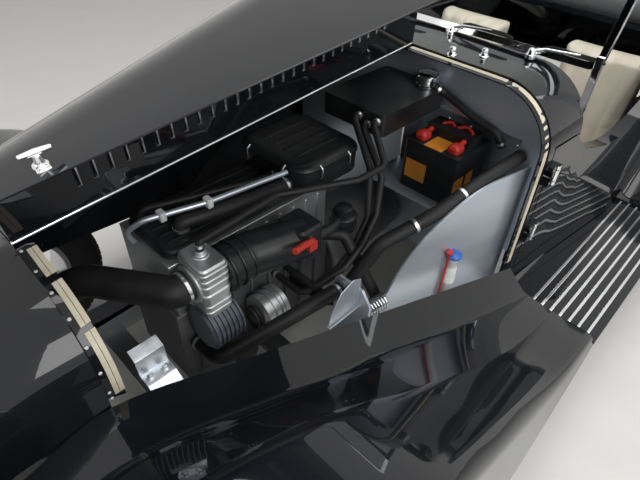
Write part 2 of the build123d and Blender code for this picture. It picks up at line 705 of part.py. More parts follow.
# Windscreen: raked frame and flat glass
screen_plane = Plane(origin=(34, 0, 1008), x_dir=(0, 1, 0), z_dir=(cos(radians(22)), 0, sin(radians(22))))
with BuildPart() as windscreen_frame:
    with BuildSketch(screen_plane):
        with Locations((0, 118)):
            RectangleRounded(960, 250, 34)
            RectangleRounded(924, 214, 22, mode=Mode.SUBTRACT)
    extrude(amount=9, both=True)
    for side in (1, -1):
        with Locations((34, side * 471, 950)):
            Box(18, 18, 180)
    add(tub_grown, mode=Mode.SUBTRACT)
save(windscreen_frame, "windscreen_frame")
with BuildPart() as windscreen_glass:
    with BuildSketch(screen_plane):
        with Locations((0, 118)):
            RectangleRounded(923, 213, 21.5)
    extrude(amount=3, both=True)
save(windscreen_glass, "windscreen_glass")

# Cabin: dashboard, seats and steering wheel
SEAT_Y = 298
SEAT_HALF = 180
SEAT_FOOT = RAIL_TOP + FLOOR_WALL + SEAT_GAP
DASH_X = 30
DASH_WALL = 26
WHEEL_HUB = Vector(-215, -SEAT_Y, 800)
COLUMN = Vector(cos(radians(18)), 0, -sin(radians(18)))
COLUMN_RADIUS = 14
STEERING_RADIUS = 164
with BuildPart() as dashboard:
    with BuildSketch(Plane.YZ.offset(DASH_X)):
        with Locations((0, 870)):
            Rectangle(980, 220)
    extrude(amount=DASH_WALL)
    add(body_block(tub_stations, inset=DOOR_WALL + SEAT_GAP, foot_z=SILL_Z), mode=Mode.INTERSECT)
    for side in (1, -1):
        with Locations((DASH_X, side * 484, 760)):
            Box(80, 80, 160, mode=Mode.SUBTRACT)
    with Locations((DASH_X + DASH_WALL / 2, -SEAT_Y, 735)):
        Box(DASH_WALL, 60, 90)
    with Locations(Plane(origin=WHEEL_HUB, z_dir=COLUMN)):
        Cylinder(COLUMN_RADIUS + SEAT_GAP, 800, mode=Mode.SUBTRACT)
save(dashboard, "dashboard")

with BuildPart() as seats:
    for side in (1, -1):
        with BuildSketch(Plane.XZ.offset(-side * SEAT_Y)):
            with BuildLine():
                FilletPolyline(
                    (-150, SEAT_FOOT), (-150, 480), (-560, 440), (-680, 860), (-790, 860), (-690, SEAT_FOOT),
                    radius=(40, 30, 30, 40),
                )
                Line((-690, SEAT_FOOT), (-150, SEAT_FOOT))
            make_face()
        extrude(amount=SEAT_HALF, both=True)
save(seats, "seats")

with BuildPart() as steering_wheel:
    with BuildSketch(Plane(origin=WHEEL_HUB, x_dir=(0, 1, 0), z_dir=-COLUMN)):
        Circle(40)
        for turn in (0, 120, 240):
            with Locations(Location((0, 0), turn + 90)):
                with Locations((STEERING_RADIUS / 2, 0)):
                    Rectangle(STEERING_RADIUS, 22)
    extrude(amount=6, both=True)
    with BuildSketch(Plane(origin=WHEEL_HUB, x_dir=-COLUMN, z_dir=(0, 1, 0))):
        with Locations((0, STEERING_RADIUS)):
            RegularPolygon(12, 8)
    revolve(axis=Axis(WHEEL_HUB, COLUMN))
    with BuildSketch(Plane(origin=WHEEL_HUB, z_dir=COLUMN)):
        Circle(COLUMN_RADIUS)
    extrude(amount=290)
save(steering_wheel, "steering_wheel")

# Lamps, bumpers and hood cover
with BuildPart() as headlamps:
    for side in (1, -1):
        add(lamp_bowl(side, 0))
save(headlamps, "headlamps")

BUMPER_WALL = 30
BUMPER_Z = 400
with BuildPart() as bumpers:
    for start in (NOSE_X - BUMPER_WALL, TAIL_X):
        with BuildSketch(Plane.YZ.offset(start)):
            with Locations((0, BUMPER_Z)):
                RectangleRounded(1180, 60, 20)
        extrude(amount=BUMPER_WALL)
    for side in (1, -1):
        with BuildSketch(Plane.XZ.offset(-side * RAIL_Y)):
            with BuildLine():
                Polyline(
                    (1700 + SEAT_GAP, 240), (1700 + SEAT_GAP, 290), (NOSE_X - BUMPER_WALL, 420),
                    (NOSE_X - BUMPER_WALL, 375), close=True,
                )
            make_face()
            with BuildLine():
                Polyline(
                    (-1740 - SEAT_GAP, 330), (-1740 - SEAT_GAP, 370), (TAIL_X + BUMPER_WALL, 394),
                    (TAIL_X + BUMPER_WALL, 374), close=True,
                )
            make_face()
        extrude(amount=5, both=True)
save(bumpers, "bumpers")
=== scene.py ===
import json
from math import cos, pi, radians, sin, tan

import bmesh
import bpy
from mathutils import Matrix, Quaternion, Vector

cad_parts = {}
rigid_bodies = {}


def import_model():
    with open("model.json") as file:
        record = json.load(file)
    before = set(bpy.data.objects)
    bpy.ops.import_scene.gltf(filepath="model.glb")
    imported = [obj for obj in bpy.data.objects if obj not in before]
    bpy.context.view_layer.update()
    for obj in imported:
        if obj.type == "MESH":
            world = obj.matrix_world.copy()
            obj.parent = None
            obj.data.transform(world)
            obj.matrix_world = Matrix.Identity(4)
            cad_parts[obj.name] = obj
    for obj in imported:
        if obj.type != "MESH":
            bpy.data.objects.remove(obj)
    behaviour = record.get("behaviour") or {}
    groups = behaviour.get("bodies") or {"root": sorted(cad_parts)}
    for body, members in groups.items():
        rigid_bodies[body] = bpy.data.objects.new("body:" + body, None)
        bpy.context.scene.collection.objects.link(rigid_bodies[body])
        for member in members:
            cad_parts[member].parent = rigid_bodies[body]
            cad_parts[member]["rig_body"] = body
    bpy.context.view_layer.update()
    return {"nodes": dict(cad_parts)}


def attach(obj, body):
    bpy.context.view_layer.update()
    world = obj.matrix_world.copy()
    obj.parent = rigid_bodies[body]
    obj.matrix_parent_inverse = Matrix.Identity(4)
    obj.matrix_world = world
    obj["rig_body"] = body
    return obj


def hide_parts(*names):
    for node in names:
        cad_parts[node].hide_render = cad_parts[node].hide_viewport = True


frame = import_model()
nodes = frame["nodes"]


# Camera: held over the left front wing, looking back and down into the open engine bay.
# It stands where the photograph was taken from and sees the same frame.
def put_in_scene(name, data):
    """An object for a mesh, a lamp or the camera, linked to the scene."""
    made = bpy.data.objects.new(name, data)
    bpy.context.scene.collection.objects.link(made)
    return made


CAMERA_PLACE = (1.4424, 0.8322, 1.4756)
CAMERA_YAW = -136.77
CAMERA_PITCH = -40.56
CAMERA_ROLL = 2.36
FOCAL_PIXELS = 489.1
FRAME_PIXELS = 640
SENSOR_WIDTH = 36
camera_data = bpy.data.cameras.new("camera")
camera_data.sensor_width = SENSOR_WIDTH
camera_data.lens = FOCAL_PIXELS / FRAME_PIXELS * SENSOR_WIDTH
camera_data.clip_start = 0.02
camera = put_in_scene("camera", camera_data)
sight = Vector((
    cos(radians(CAMERA_YAW)) * cos(radians(CAMERA_PITCH)),
    sin(radians(CAMERA_YAW)) * cos(radians(CAMERA_PITCH)),
    sin(radians(CAMERA_PITCH)),
))
camera.location = CAMERA_PLACE
camera.rotation_euler = (sight.to_track_quat("-Z", "Y") @ Quaternion((0, 0, 1), radians(CAMERA_ROLL))).to_euler()
bpy.context.scene.camera = camera
bpy.context.scene.view_settings.view_transform = "Standard"


# Studio: a plain pale floor, a pale surround, and large soft lamps over the car.
# The floor takes the car's shadow; the surround is seen straight on and in reflections.
def shader(material):
    """The surface node of a finish."""
    return material.node_tree.nodes["Principled BSDF"]


def add_node(tree, kind, **values):
    """A node of a tree, with some of its inputs set by name."""
    node = tree.nodes.new(kind)
    for label, value in values.items():
        node.inputs[label.replace("_", " ")].default_value = value
    return node


def make_finish(name, dark, light, rough, metal=0.0, blotch=6.0, grain=400.0, relief=0.1, depth=0.0003,
                stretch=(1, 1, 1)):
    """A surface whose tone and gloss drift between two values, with a fine relief."""
    material = bpy.data.materials.new(name)
    material.use_nodes = True
    tree = material.node_tree
    join = tree.links.new
    surface = shader(material).inputs
    surface["Metallic"].default_value = metal
    place = add_node(tree, "ShaderNodeTexCoord")
    turned = add_node(tree, "ShaderNodeMapping", Scale=stretch)
    join(place.outputs["Object"], turned.inputs["Vector"])
    drift = add_node(tree, "ShaderNodeTexNoise", Scale=blotch, Detail=6)
    join(turned.outputs["Vector"], drift.inputs["Vector"])
    tone = add_node(tree, "ShaderNodeValToRGB")
    for stop, spot, colour in zip(tone.color_ramp.elements, (0.32, 0.68), (dark, light)):
        stop.position = spot
        stop.color = (*colour, 1)
    join(drift.outputs["Fac"], tone.inputs["Fac"])
    join(tone.outputs["Color"], surface["Base Color"])
    gloss = add_node(tree, "ShaderNodeMapRange", From_Min=0.3, From_Max=0.7, To_Min=rough[0], To_Max=rough[1])
    join(drift.outputs["Fac"], gloss.inputs["Value"])
    join(gloss.outputs["Result"], surface["Roughness"])
    fine = add_node(tree, "ShaderNodeTexNoise", Scale=grain, Detail=3)
    join(turned.outputs["Vector"], fine.inputs["Vector"])
    bump = add_node(tree, "ShaderNodeBump", Strength=relief, Distance=depth)
    join(fine.outputs["Fac"], bump.inputs["Height"])
    join(bump.outputs["Normal"], surface["Normal"])
    return material


FLOOR_HALF = 9.0
floor_mesh = bpy.data.meshes.new("floor")
floor_mesh.from_pydata([(x * FLOOR_HALF, y * FLOOR_HALF, 0) for x, y in ((-1, -1), (1, -1), (1, 1), (-1, 1))],
                       [], [(0, 1, 2, 3)])
floor = put_in_scene("floor", floor_mesh)
floor_pale = make_finish("floor_pale", (0.70, 0.69, 0.67), (0.74, 0.73, 0.71), (0.5, 0.7), grain=60)
floor_mesh.materials.append(floor_pale)

world = bpy.data.worlds.new("studio")
bpy.context.scene.world = world
world.use_nodes = True
world_tree = world.node_tree
join = world_tree.links.new
sky = world_tree.nodes["Background"]
sky.inputs["Color"].default_value = (0.80, 0.80, 0.79, 1)
sky.inputs["Strength"].default_value = 0.42
white = add_node(world_tree, "ShaderNodeBackground", Color=(0.86, 0.85, 0.83, 1), Strength=1.0)
seen = add_node(world_tree, "ShaderNodeLightPath").outputs
factor = seen["Is Camera Ray"]
for ray in ("Is Glossy Ray", "Is Transmission Ray"):
    either = add_node(world_tree, "ShaderNodeMath")
    either.operation = "MAXIMUM"
    join(factor, either.inputs[0])
    join(seen[ray], either.inputs[1])
    factor = either.outputs["Value"]
mixed = add_node(world_tree, "ShaderNodeMixShader")
join(factor, mixed.inputs["Fac"])
join(sky.outputs["Background"], mixed.inputs[1])
join(white.outputs["Background"], mixed.inputs[2])
join(mixed.outputs["Shader"], world_tree.nodes["World Output"].inputs["Surface"])

for name, place, aim, size, power in (
    ("lamp_over", (0.2, 0.6, 4.2), (0.4, 0.0, 0.6), 3.2, 120),
    ("lamp_left", (1.6, 4.2, 3.0), (0.6, 0.2, 0.6), 2.4, 90),
    ("lamp_front", (5.0, -1.6, 2.6), (0.8, 0.0, 0.6), 2.4, 60),
):
    lamp_data = bpy.data.lights.new(name, "AREA")
    lamp_data.shape = "SQUARE"
    lamp_data.size = size
    lamp_data.energy = power
    lamp = put_in_scene(name, lamp_data)
    lamp.location = place
    lamp.rotation_euler = (Vector(aim) - Vector(place)).to_track_quat("-Z", "Y").to_euler()


# Chassis: welded aluminium box rails and cross-members, satin, with the floor between them.
# The floor is folded sheet with a tunnel for the gearbox.
def lay_finish(mesh, material, angle):
    """One finish over the mesh, smooth but where faces meet at more than the angle."""
    mesh.materials.clear()
    mesh.materials.append(material)
    mesh.polygons.foreach_set("use_smooth", [True] * len(mesh.polygons))
    mesh.set_sharp_from_angle(angle=radians(angle))


def place_piece(name, mesh, body, edge=0.0, segments=2, stands_for=()):
    """The mesh as a piece on its body, with its sharp edges eased by some millimetres."""
    made = put_in_scene(name, mesh)
    if edge:
        eased = made.modifiers.new("eased_edges", "BEVEL")
        eased.width = edge / 1000
        eased.segments = segments
        eased.limit_method = "ANGLE"
        eased.angle_limit = radians(40)
    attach(made, body)
    if stands_for:
        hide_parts(*stands_for)
    return made


MERGE_DISTANCE = 0.00002


def dress(name, material, edge=0.0, angle=32):
    """The CAD node's own shape with its loose faces joined, its edges eased and a finish laid on."""
    mesh = nodes[name].data.copy()
    work = bmesh.new()
    work.from_mesh(mesh)
    bmesh.ops.remove_doubles(work, verts=work.verts, dist=MERGE_DISTANCE)
    work.to_mesh(mesh)
    work.free()
    for extra in ("custom_normal", "sharp_edge", "sharp_face"):
        if extra in mesh.attributes:
            mesh.attributes.remove(mesh.attributes[extra])
    lay_finish(mesh, material, angle)
    place_piece(name + "_finished", mesh, nodes[name]["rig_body"], edge, stands_for=(name,))


chassis_satin = make_finish(
    "chassis_satin", (0.36, 0.37, 0.39), (0.46, 0.47, 0.49), (0.38, 0.55), 0.8, grain=500, relief=0.12)
dress("chassis_frame", chassis_satin, 1.5)
dress("floor_pan", chassis_satin, 0.8)

# Running gear: forged and welded steel arms, leaf springs and axle, black coated.
# The knuckles carry ground stub axles and the brake discs.
steel_dark = make_finish(
    "steel_dark", (0.035, 0.035, 0.038), (0.075, 0.073, 0.07), (0.42, 0.62), 0.55, blotch=14, grain=260,
    relief=0.25)
for name in ("front_suspension", "knuckle_left", "knuckle_right", "rear_axle", "rear_springs"):
    dress(name, steel_dark, 1.0)
exhaust_steel = make_finish(
    "exhaust_steel", (0.34, 0.31, 0.27), (0.50, 0.49, 0.47), (0.28, 0.45), 0.95, blotch=9, grain=700,
    stretch=(0.1, 1, 1))
dress("exhaust", exhaust_steel)


# Front dampers: black tubes inside coil springs, between the lower arms and plates on
# welded towers beside the rails.
def add_rings(work, rings, loop=False):
    """A closed skin through rings of points in millimetres."""
    verts = [[work.verts.new(point / 1000) for point in ring] for ring in rings]
    count = len(verts[0])
    for low, high in zip(verts, verts[1:] + (verts[:1] if loop else [])):
        for k in range(count):
            work.faces.new((low[k], low[(k + 1) % count], high[(k + 1) % count], high[k]))
    if not loop:
        work.faces.new(list(reversed(verts[0])))
        work.faces.new(verts[-1])


TIP_RADIUS = 0.05


def add_lathe(work, origin, axis, profile, sides=32):
    """A turned shape about an axis, from (along, radius) pairs."""
    origin, axis = Vector(origin), Vector(axis).normalized()
    across = axis.orthogonal().normalized()
    up = axis.cross(across)
    spokes = [across * cos(2 * pi * k / sides) + up * sin(2 * pi * k / sides) for k in range(sides)]
    add_rings(work, [[origin + axis * along + spoke * max(radius, TIP_RADIUS) for spoke in spokes]
                     for along, radius in profile])


def add_prism(work, outline, place, across, up, depth):
    """A flat outline in the plane of across and up, given a thickness along their normal."""
    place, across, up = Vector(place), Vector(across).normalized(), Vector(up).normalized()
    normal = across.cross(up)
    add_rings(work, [[place + across * u + up * v + normal * d for u, v in outline] for d in (0, depth)])


def add_block(work, low, high):
    """A cuboid between two corners."""
    add_prism(work, [(low[0], low[1]), (high[0], low[1]), (high[0], high[1]), (low[0], high[1])],
              (0, 0, low[2]), (1, 0, 0), (0, 1, 0), high[2] - low[2])


def add_tube(work, path, radius, sides=16):
    """A round section carried along a path; the radius may change from point to point."""
    rings, normal = [], None
    for k, point in enumerate(path):
        along = (path[min(k + 1, len(path) - 1)] - path[max(k - 1, 0)]).normalized()
        normal = along.orthogonal() if normal is None else normal - along * normal.dot(along)
        normal.normalize()
        side = along.cross(normal)
        size = radius[k] if isinstance(radius, list) else radius
        rings.append([point + (normal * cos(2 * pi * s / sides) + side * sin(2 * pi * s / sides)) * size
                      for s in range(sides)])
    add_rings(work, rings)


def mesh_of(name, work):
    """The bmesh as a mesh, with its faces turned outward."""
    bmesh.ops.recalc_face_normals(work, faces=work.faces)
    mesh = bpy.data.meshes.new(name)
    work.to_mesh(mesh)
    work.free()
    return mesh


def finish_piece(name, work, material, body="root", edge=0.0, stands_for=(), angle=36):
    """The bmesh as a piece in one finish on its body."""
    mesh = mesh_of(name, work)
    lay_finish(mesh, material, angle)
    return place_piece(name, mesh, body, edge, stands_for=stands_for)


FRONT_AXLE_X = 1355
DAMPER_Y = 430
COIL_RADIUS = 36
COIL_TURNS, COIL_STEPS = 8, 20
SIDES = ((1, "left"), (-1, "right"))
COIL_FOOT, COIL_HEIGHT = 273, 253
UP = Vector((0, 0, 1))
towers, dampers, coils = bmesh.new(), bmesh.new(), bmesh.new()
for side in (1, -1):
    for x in (1262, 1448):
        add_prism(towers, [(0, 300.2), (0, 540), (-side * 12, 540), (-side * 12, 300.2)],
                  (x - 4, side * 372, 0), (0, 1, 0), UP, 8)
    add_block(towers, (1250, min(side * 345, side * 482), 532), (1460, max(side * 345, side * 482), 540))
    for foot, profile in (
        (226, [(0, 8), (2, 15), (14, 15), (16, 20), (150, 20), (152, 9), (300, 9), (304, 22), (306, 22)]),
        (262, [(0, 20), (1, 44), (5, 44), (6, 20)]),
    ):
        add_lathe(dampers, (FRONT_AXLE_X, side * DAMPER_Y, foot), UP, profile, 24)
    add_tube(coils, [
        Vector((FRONT_AXLE_X + COIL_RADIUS * cos(2 * pi * k / COIL_STEPS),
                side * DAMPER_Y + COIL_RADIUS * sin(2 * pi * k / COIL_STEPS),
                COIL_FOOT + COIL_HEIGHT * k / (COIL_STEPS * COIL_TURNS)))
        for k in range(COIL_STEPS * COIL_TURNS + 1)], 5.5, 10)
finish_piece("damper_towers", towers, chassis_satin, edge=1.5)
finish_piece("front_dampers", dampers, steel_dark)
coil_grey = make_finish("coil_grey", (0.16, 0.16, 0.17), (0.24, 0.24, 0.25), (0.3, 0.45), 0.5, relief=0.08)
finish_piece("damper_springs", coils, coil_grey)

# Bay panels: the bulkhead, battery shelf and side panels are bare aluminium sheet, bent
# and riveted, with a fine rolled grain along the car.
bare_aluminium = make_finish(
    "bare_aluminium", (0.50, 0.56, 0.64), (0.66, 0.71, 0.78), (0.30, 0.46), 0.75, blotch=5, grain=260, relief=0.14,
    stretch=(0.15, 0.15, 1))
dress("bay_panels", bare_aluminium, 0.8)
COWL_X, SCUTTLE_X = 1335, 215
# Half width at the shoulder, crown height, fall to the shoulder, corner radius, foot y and foot z.
COWL_SECTION = (246, 894, 45, 160, 248, 668)
SCUTTLE_SECTION = (480, 988, 6, 180, 493, 420)


def section_at(x, inset=0.0, start=0.0, steps=10):
    """The bonnet's section from crown to foot at station x, as (y, z) pairs."""
    share = (COWL_X - x) / (COWL_X - SCUTTLE_X)
    shoulder, crown, fall, radius, foot_y, foot_z = (
        a + (b - a) * share for a, b in zip(COWL_SECTION, SCUTTLE_SECTION))
    corner = Vector((shoulder - inset, crown - fall - inset))
    top = Vector((start, crown - inset - fall * start / shoulder))
    foot = Vector((foot_y - inset, foot_z))
    to_top, to_foot = (top - corner).normalized(), (foot - corner).normalized()
    half = to_top.angle(to_foot) / 2
    cut = (radius - inset) / tan(half)
    centre = corner + (to_top + to_foot).normalized() * ((radius - inset) / sin(half))
    first, last = corner + to_top * cut, corner + to_foot * cut
    path = [top]
    sweep = (first - centre).angle(last - centre)
    for k in range(steps + 1):
        turned = (first - centre).copy()
        turned.rotate(Matrix.Rotation(-sweep * k / steps, 2))
        path.append(centre + turned)
    path.append(foot)
    return path


def along_section(path, reach):
    """The point at a distance along a section, with its direction."""
    for a, b in zip(path, path[1:]):
        run = (b - a).length
        if reach <= run:
            return a + (b - a) * (reach / run), (b - a).normalized()
        reach -= run
    return path[-1], (path[-1] - path[-2]).normalized()


# Repeated small parts: one set of points carries each kind, and a node tree sets the same
# head, strip or block on all of them.
def baked(made):
    """The mesh that an object's modifiers leave."""
    return bpy.data.meshes.new_from_object(made.evaluated_get(bpy.context.evaluated_depsgraph_get()))


def set_on_points(name, spots, size, kind, material, body="root", edge=0.0):
    """Domes or blocks of a width, depth and height on spots, each a place, a facing and an along direction."""
    tree = bpy.data.node_groups.new(name + "_tree", "GeometryNodeTree")
    tree.interface.new_socket("Spots", in_out="INPUT", socket_type="NodeSocketGeometry")
    sizes = [tree.interface.new_socket(label, in_out="INPUT", socket_type="NodeSocketFloat")
             for label in ("Width", "Depth", "Height")]
    tree.interface.new_socket("Parts", in_out="OUTPUT", socket_type="NodeSocketGeometry")
    join = tree.links.new
    given, out = add_node(tree, "NodeGroupInput"), add_node(tree, "NodeGroupOutput")
    packed = add_node(tree, "ShaderNodeCombineXYZ")
    for socket, axis in zip(sizes, "XYZ"):
        join(given.outputs[socket.name], packed.inputs[axis])
    if kind == "dome":
        shape = add_node(tree, "GeometryNodeMeshUVSphere", Segments=12, Rings=6, Radius=0.5)
    else:
        shape = add_node(tree, "GeometryNodeMeshCube")
    aligned = None
    for key, axis, pivot in (("facing", "Z", "AUTO"), ("along", "X", "Z")):
        held = add_node(tree, "GeometryNodeInputNamedAttribute", Name=key)
        held.data_type = "FLOAT_VECTOR"
        turn = add_node(tree, "FunctionNodeAlignRotationToVector")
        turn.axis, turn.pivot_axis = axis, pivot
        join(held.outputs["Attribute"], turn.inputs["Vector"])
        if aligned:
            join(aligned.outputs["Rotation"], turn.inputs["Rotation"])
        aligned = turn
    placed = add_node(tree, "GeometryNodeInstanceOnPoints")
    join(given.outputs["Spots"], placed.inputs["Points"])
    join(shape.outputs["Mesh"], placed.inputs["Instance"])
    join(aligned.outputs["Rotation"], placed.inputs["Rotation"])
    join(packed.outputs["Vector"], placed.inputs["Scale"])
    real = add_node(tree, "GeometryNodeRealizeInstances")
    join(placed.outputs["Instances"], real.inputs["Geometry"])
    coated = add_node(tree, "GeometryNodeSetMaterial", Material=material)
    join(real.outputs["Geometry"], coated.inputs["Geometry"])
    join(coated.outputs["Geometry"], out.inputs["Parts"])
    base = bpy.data.meshes.new(name + "_spots")
    base.from_pydata([Vector(place) / 1000 for place, _, _ in spots], [], [])
    for key, column in (("facing", 1), ("along", 2)):
        held = base.attributes.new(key, "FLOAT_VECTOR", "POINT")
        held.data.foreach_set("vector", [v for spot in spots for v in spot[column]])
    carrier = put_in_scene(name + "_spots", base)
    maker = carrier.modifiers.new("parts", "NODES")
    maker.node_group = tree
    for socket, value in zip(sizes, size):
        maker[socket.identifier] = value / 1000
    bpy.context.view_layer.update()
    mesh = baked(carrier)
    bpy.data.objects.remove(carrier)
    mesh.name = name
    for key in ("facing", "along"):
        if key in mesh.attributes:
            mesh.attributes.remove(mesh.attributes[key])
    lay_finish(mesh, material, 50)
    place_piece(name, mesh, body, edge, segments=1)


rivet_metal = make_finish(
    "rivet_metal", (0.60, 0.61, 0.63), (0.74, 0.75, 0.76), (0.22, 0.34), 0.95, grain=900, relief=0.05)
PANEL_CORNER = Vector((192, 440.5, 0))
SIDE_RUN = Vector((488, -111.6, 0)).normalized()
PANEL_OUT = SIDE_RUN.cross(UP)
panel_spots = [(PANEL_CORNER + SIDE_RUN * (14 + 52 * k) + UP * 348 + PANEL_OUT * 3, PANEL_OUT, (1, 0, 0))
               for k in range(10)]
for k in range(11):
    panel_spots.append(((195.2, 392 - 74 * k, 812), (1, 0, 0), (0, 1, 0)))
set_on_points("bay_rivets", panel_spots, (9, 9, 5), "dome", rivet_metal)

# Engine: iron-grey castings with an alloy head under a black cam cover, in line with the
# car, and the gearbox casing behind it.
cast_grey = make_finish(
    "cast_grey", (0.10, 0.105, 0.11), (0.18, 0.18, 0.185), (0.5, 0.68), 0.6, blotch=10, grain=330, relief=0.4,
    depth=0.0006)
cast_alloy = make_finish(
    "cast_alloy", (0.46, 0.47, 0.48), (0.60, 0.61, 0.62), (0.34, 0.5), 0.9, blotch=12, grain=380, relief=0.35,
    depth=0.0005)
black_plastic = make_finish(
    "black_plastic", (0.010, 0.011, 0.012), (0.020, 0.021, 0.023), (0.30, 0.44), blotch=10, grain=900, relief=0.12,
    depth=0.0002)
shader(black_plastic).inputs["Specular IOR Level"].default_value = 0.32
ENGINE_Y = -45
PAN_TOP = 300.3
block = bmesh.new()
add_block(block, (600, -160, PAN_TOP), (1120, 70, 560))
add_block(block, (640, -145, 222), (1080, 55, PAN_TOP))
for x in range(650, 1100, 60):
    add_block(block, (x, 70, 320), (x + 10, 78, 548))
add_lathe(block, (600, ENGINE_Y, 400), (-1, 0, 0),
    [(0, 148), (10, 152), (22, 152), (30, 146), (250, 112), (398, 100)], 36)
add_block(block, (850, 55, PAN_TOP), (910, 315, 328))
add_block(block, (850, -342, PAN_TOP), (910, -150, 328))
finish_piece("engine_castings", block, cast_grey, edge=4, stands_for=("engine_block",))
head = bmesh.new()
add_block(head, (610, -154, 560.5), (1110, 65, 718))
for x in range(640, 1100, 46):
    add_block(head, (x, 65, 575), (x + 8, 69, 700))
finish_piece("engine_head", head, cast_alloy, edge=3)


def rounded_plan(width, depth, radius, steps=6):
    """A rectangle with round corners, about its centre."""
    corners = []
    for sx, sy, turn in ((1, 1, 0), (-1, 1, 90), (-1, -1, 180), (1, -1, 270)):
        for k in range(steps + 1):
            a = radians(turn + 90 * k / steps)
            corners.append((sx * (width / 2 - radius) + radius * cos(a),
                            sy * (depth / 2 - radius) + radius * sin(a)))
    return corners


LEAST_CORNER = 3


def add_moulding(work, centre, width, depth, radius, levels):
    """A moulding whose rounded outline is set in by a given amount at each height."""
    rings = []
    for z, inset in levels:
        plan = rounded_plan(width - 2 * inset, depth - 2 * inset, max(radius - inset, LEAST_CORNER))
        rings.append([Vector((centre[0] + u, centre[1] + v, z)) for u, v in plan])
    add_rings(work, rings)


cover = bmesh.new()
add_moulding(cover, (860, ENGINE_Y), 480, 198, 34, [(718.5, 0), (732, 0), (738, 3), (741, 8), (742, 16)])
for y in (-110, -78, -46, -14, 18):
    add_moulding(cover, (900, y), 360, 9, 4, [(741, 0), (744, 0.4), (745, 2)])
add_lathe(cover, (1040, -105, 742), UP, [(0, 22), (4, 27), (18, 27), (22, 23), (24, 8), (25, 2)], 28)
finish_piece("cam_cover", cover, black_plastic)

# Intake: a moulded plenum with hoop ribs feeds the head by three short runners; its breather
# ends in a stack of collars. The throttle housing is bright cast alloy on a dark ribbed drum.
def rounded_path(points, bend, steps=6):
    """Straight runs with their corners rounded."""
    points = [Vector(point) for point in points]
    path = [points[0]]
    for before, corner, after in zip(points, points[1:], points[2:]):
        back, on = before - corner, after - corner
        cut = min(bend / tan(back.angle(on) / 2), back.length * 0.48, on.length * 0.48)
        first, last = corner + back.normalized() * cut, corner + on.normalized() * cut
        for k in range(steps + 1):
            t = k / steps
            path.append(first * (1 - t) ** 2 + corner * 2 * t * (1 - t) + last * t * t)
    path.append(points[-1])
    return path


plenum = bmesh.new()
add_tube(plenum, rounded_path([(1016.6, 122, 690), (940, 122, 690), (795, 165, 690)], 120, 10), 55, 40)
for x, size in ((1004, 60), (978, 60), (950, 58)):
    add_lathe(plenum, (x - 4, 122, 690), (1, 0, 0),
        [(0, 54), (1, size - 1), (3, size), (6, size), (8, size - 1), (9, 54)], 40)
add_moulding(plenum, (800, 160), 76, 92, 14, [(638, 6), (644, 0), (736, 0), (742, 6)])
for x in (765, 855, 925):
    add_moulding(plenum, (x, 95), 36, 70, 12, [(640, 4), (644, 0), (676, 0), (680, 4)])
add_tube(plenum, rounded_path([(775, 168, 668), (700, 172, 668), (640, 160, 668)], 40), 15, 20)
add_lathe(plenum, (640, 160, 630), UP,
    [(0, 24), (3, 36), (14, 38), (18, 38), (20, 29), (28, 29), (30, 38), (46, 38), (50, 34), (52, 25), (70, 24),
     (74, 18)], 32)
finish_piece("intake_plenum", plenum, black_plastic, stands_for=("intake_manifold",))

throttle = bmesh.new()
add_moulding(throttle, (1052, 115.3), 70, 100, 14,
    [(605, 3), (608, 0), (668, 0), (670, -3), (680, -3), (682, 0), (750, 0), (755, 5)])
for z in (622, 640, 700, 718, 736):
    add_moulding(throttle, (1052, 115.3), 75, 105, 16, [(z, 2), (z + 1.5, 0), (z + 5, 0), (z + 6.5, 2)])
add_lathe(throttle, (1086, 112, 690), (1, 0, 0), [(0, 44), (2, 47), (7, 47), (9, 42), (10, 20)], 36)
add_lathe(throttle, (1052, 112, 754), UP, [(0, 20), (3, 20), (5, 14), (12, 12), (15, 12)], 24)
finish_piece("throttle_body", throttle, cast_alloy, edge=1.2, stands_for=("throttle_housing",))
drum_grey = make_finish(
    "drum_grey", (0.055, 0.065, 0.085), (0.10, 0.115, 0.14), (0.36, 0.5), 0.35, grain=600, relief=0.15)
drum = bmesh.new()
ribs = [(3 + 12 * k + step, size) for k in range(7) for step, size in ((0, 56), (1, 61), (6, 61), (7, 56))]
add_lathe(drum, (1006, 135, 560), (1, 0, 0), [(0, 30), (1, 52), *ribs, (88, 52), (89, 30)], 40)
finish_piece("throttle_drum", drum, drum_grey)

# Accessories on the engine's side: the alternator in finned cast alloy with its grooved
# steel pulley, and the pressed steel oil filter.
ALTERNATOR = Vector((846, 127.3, 470))
alternator = bmesh.new()
add_lathe(alternator, ALTERNATOR, (1, 0, 0),
    [(0, 26), (2, 46), (6, 53), (18, 53), (19, 50), (24, 50), (25, 56), (31, 56), (32, 50), (44, 50), (45, 56),
     (51, 56), (52, 50), (60, 50), (61, 53), (74, 53), (80, 44), (82, 18)], 36)
for k in range(12):
    turn = 2 * pi * k / 12
    add_lathe(alternator, ALTERNATOR + Vector((0, 36 * cos(turn), 36 * sin(turn))), (1, 0, 0),
        [(-2, 3), (0, 4), (4, 4)], 8)
finish_piece("alternator", alternator, cast_alloy)
pulley = bmesh.new()
add_lathe(pulley, ALTERNATOR + Vector((82, 0, 0)), (1, 0, 0),
    [(0, 12), (4, 32), (6, 32), (8, 28), (10, 32), (12, 28), (14, 32), (16, 32), (17, 20), (22, 14), (23, 6)], 32)
add_lathe(pulley, (985, 70.2, 380), (0, 1, 0), [(0, 30), (2, 38), (72, 38), (76, 34), (88, 32), (91, 24)], 36)
finish_piece("pulley_and_filter", pulley, steel_dark)

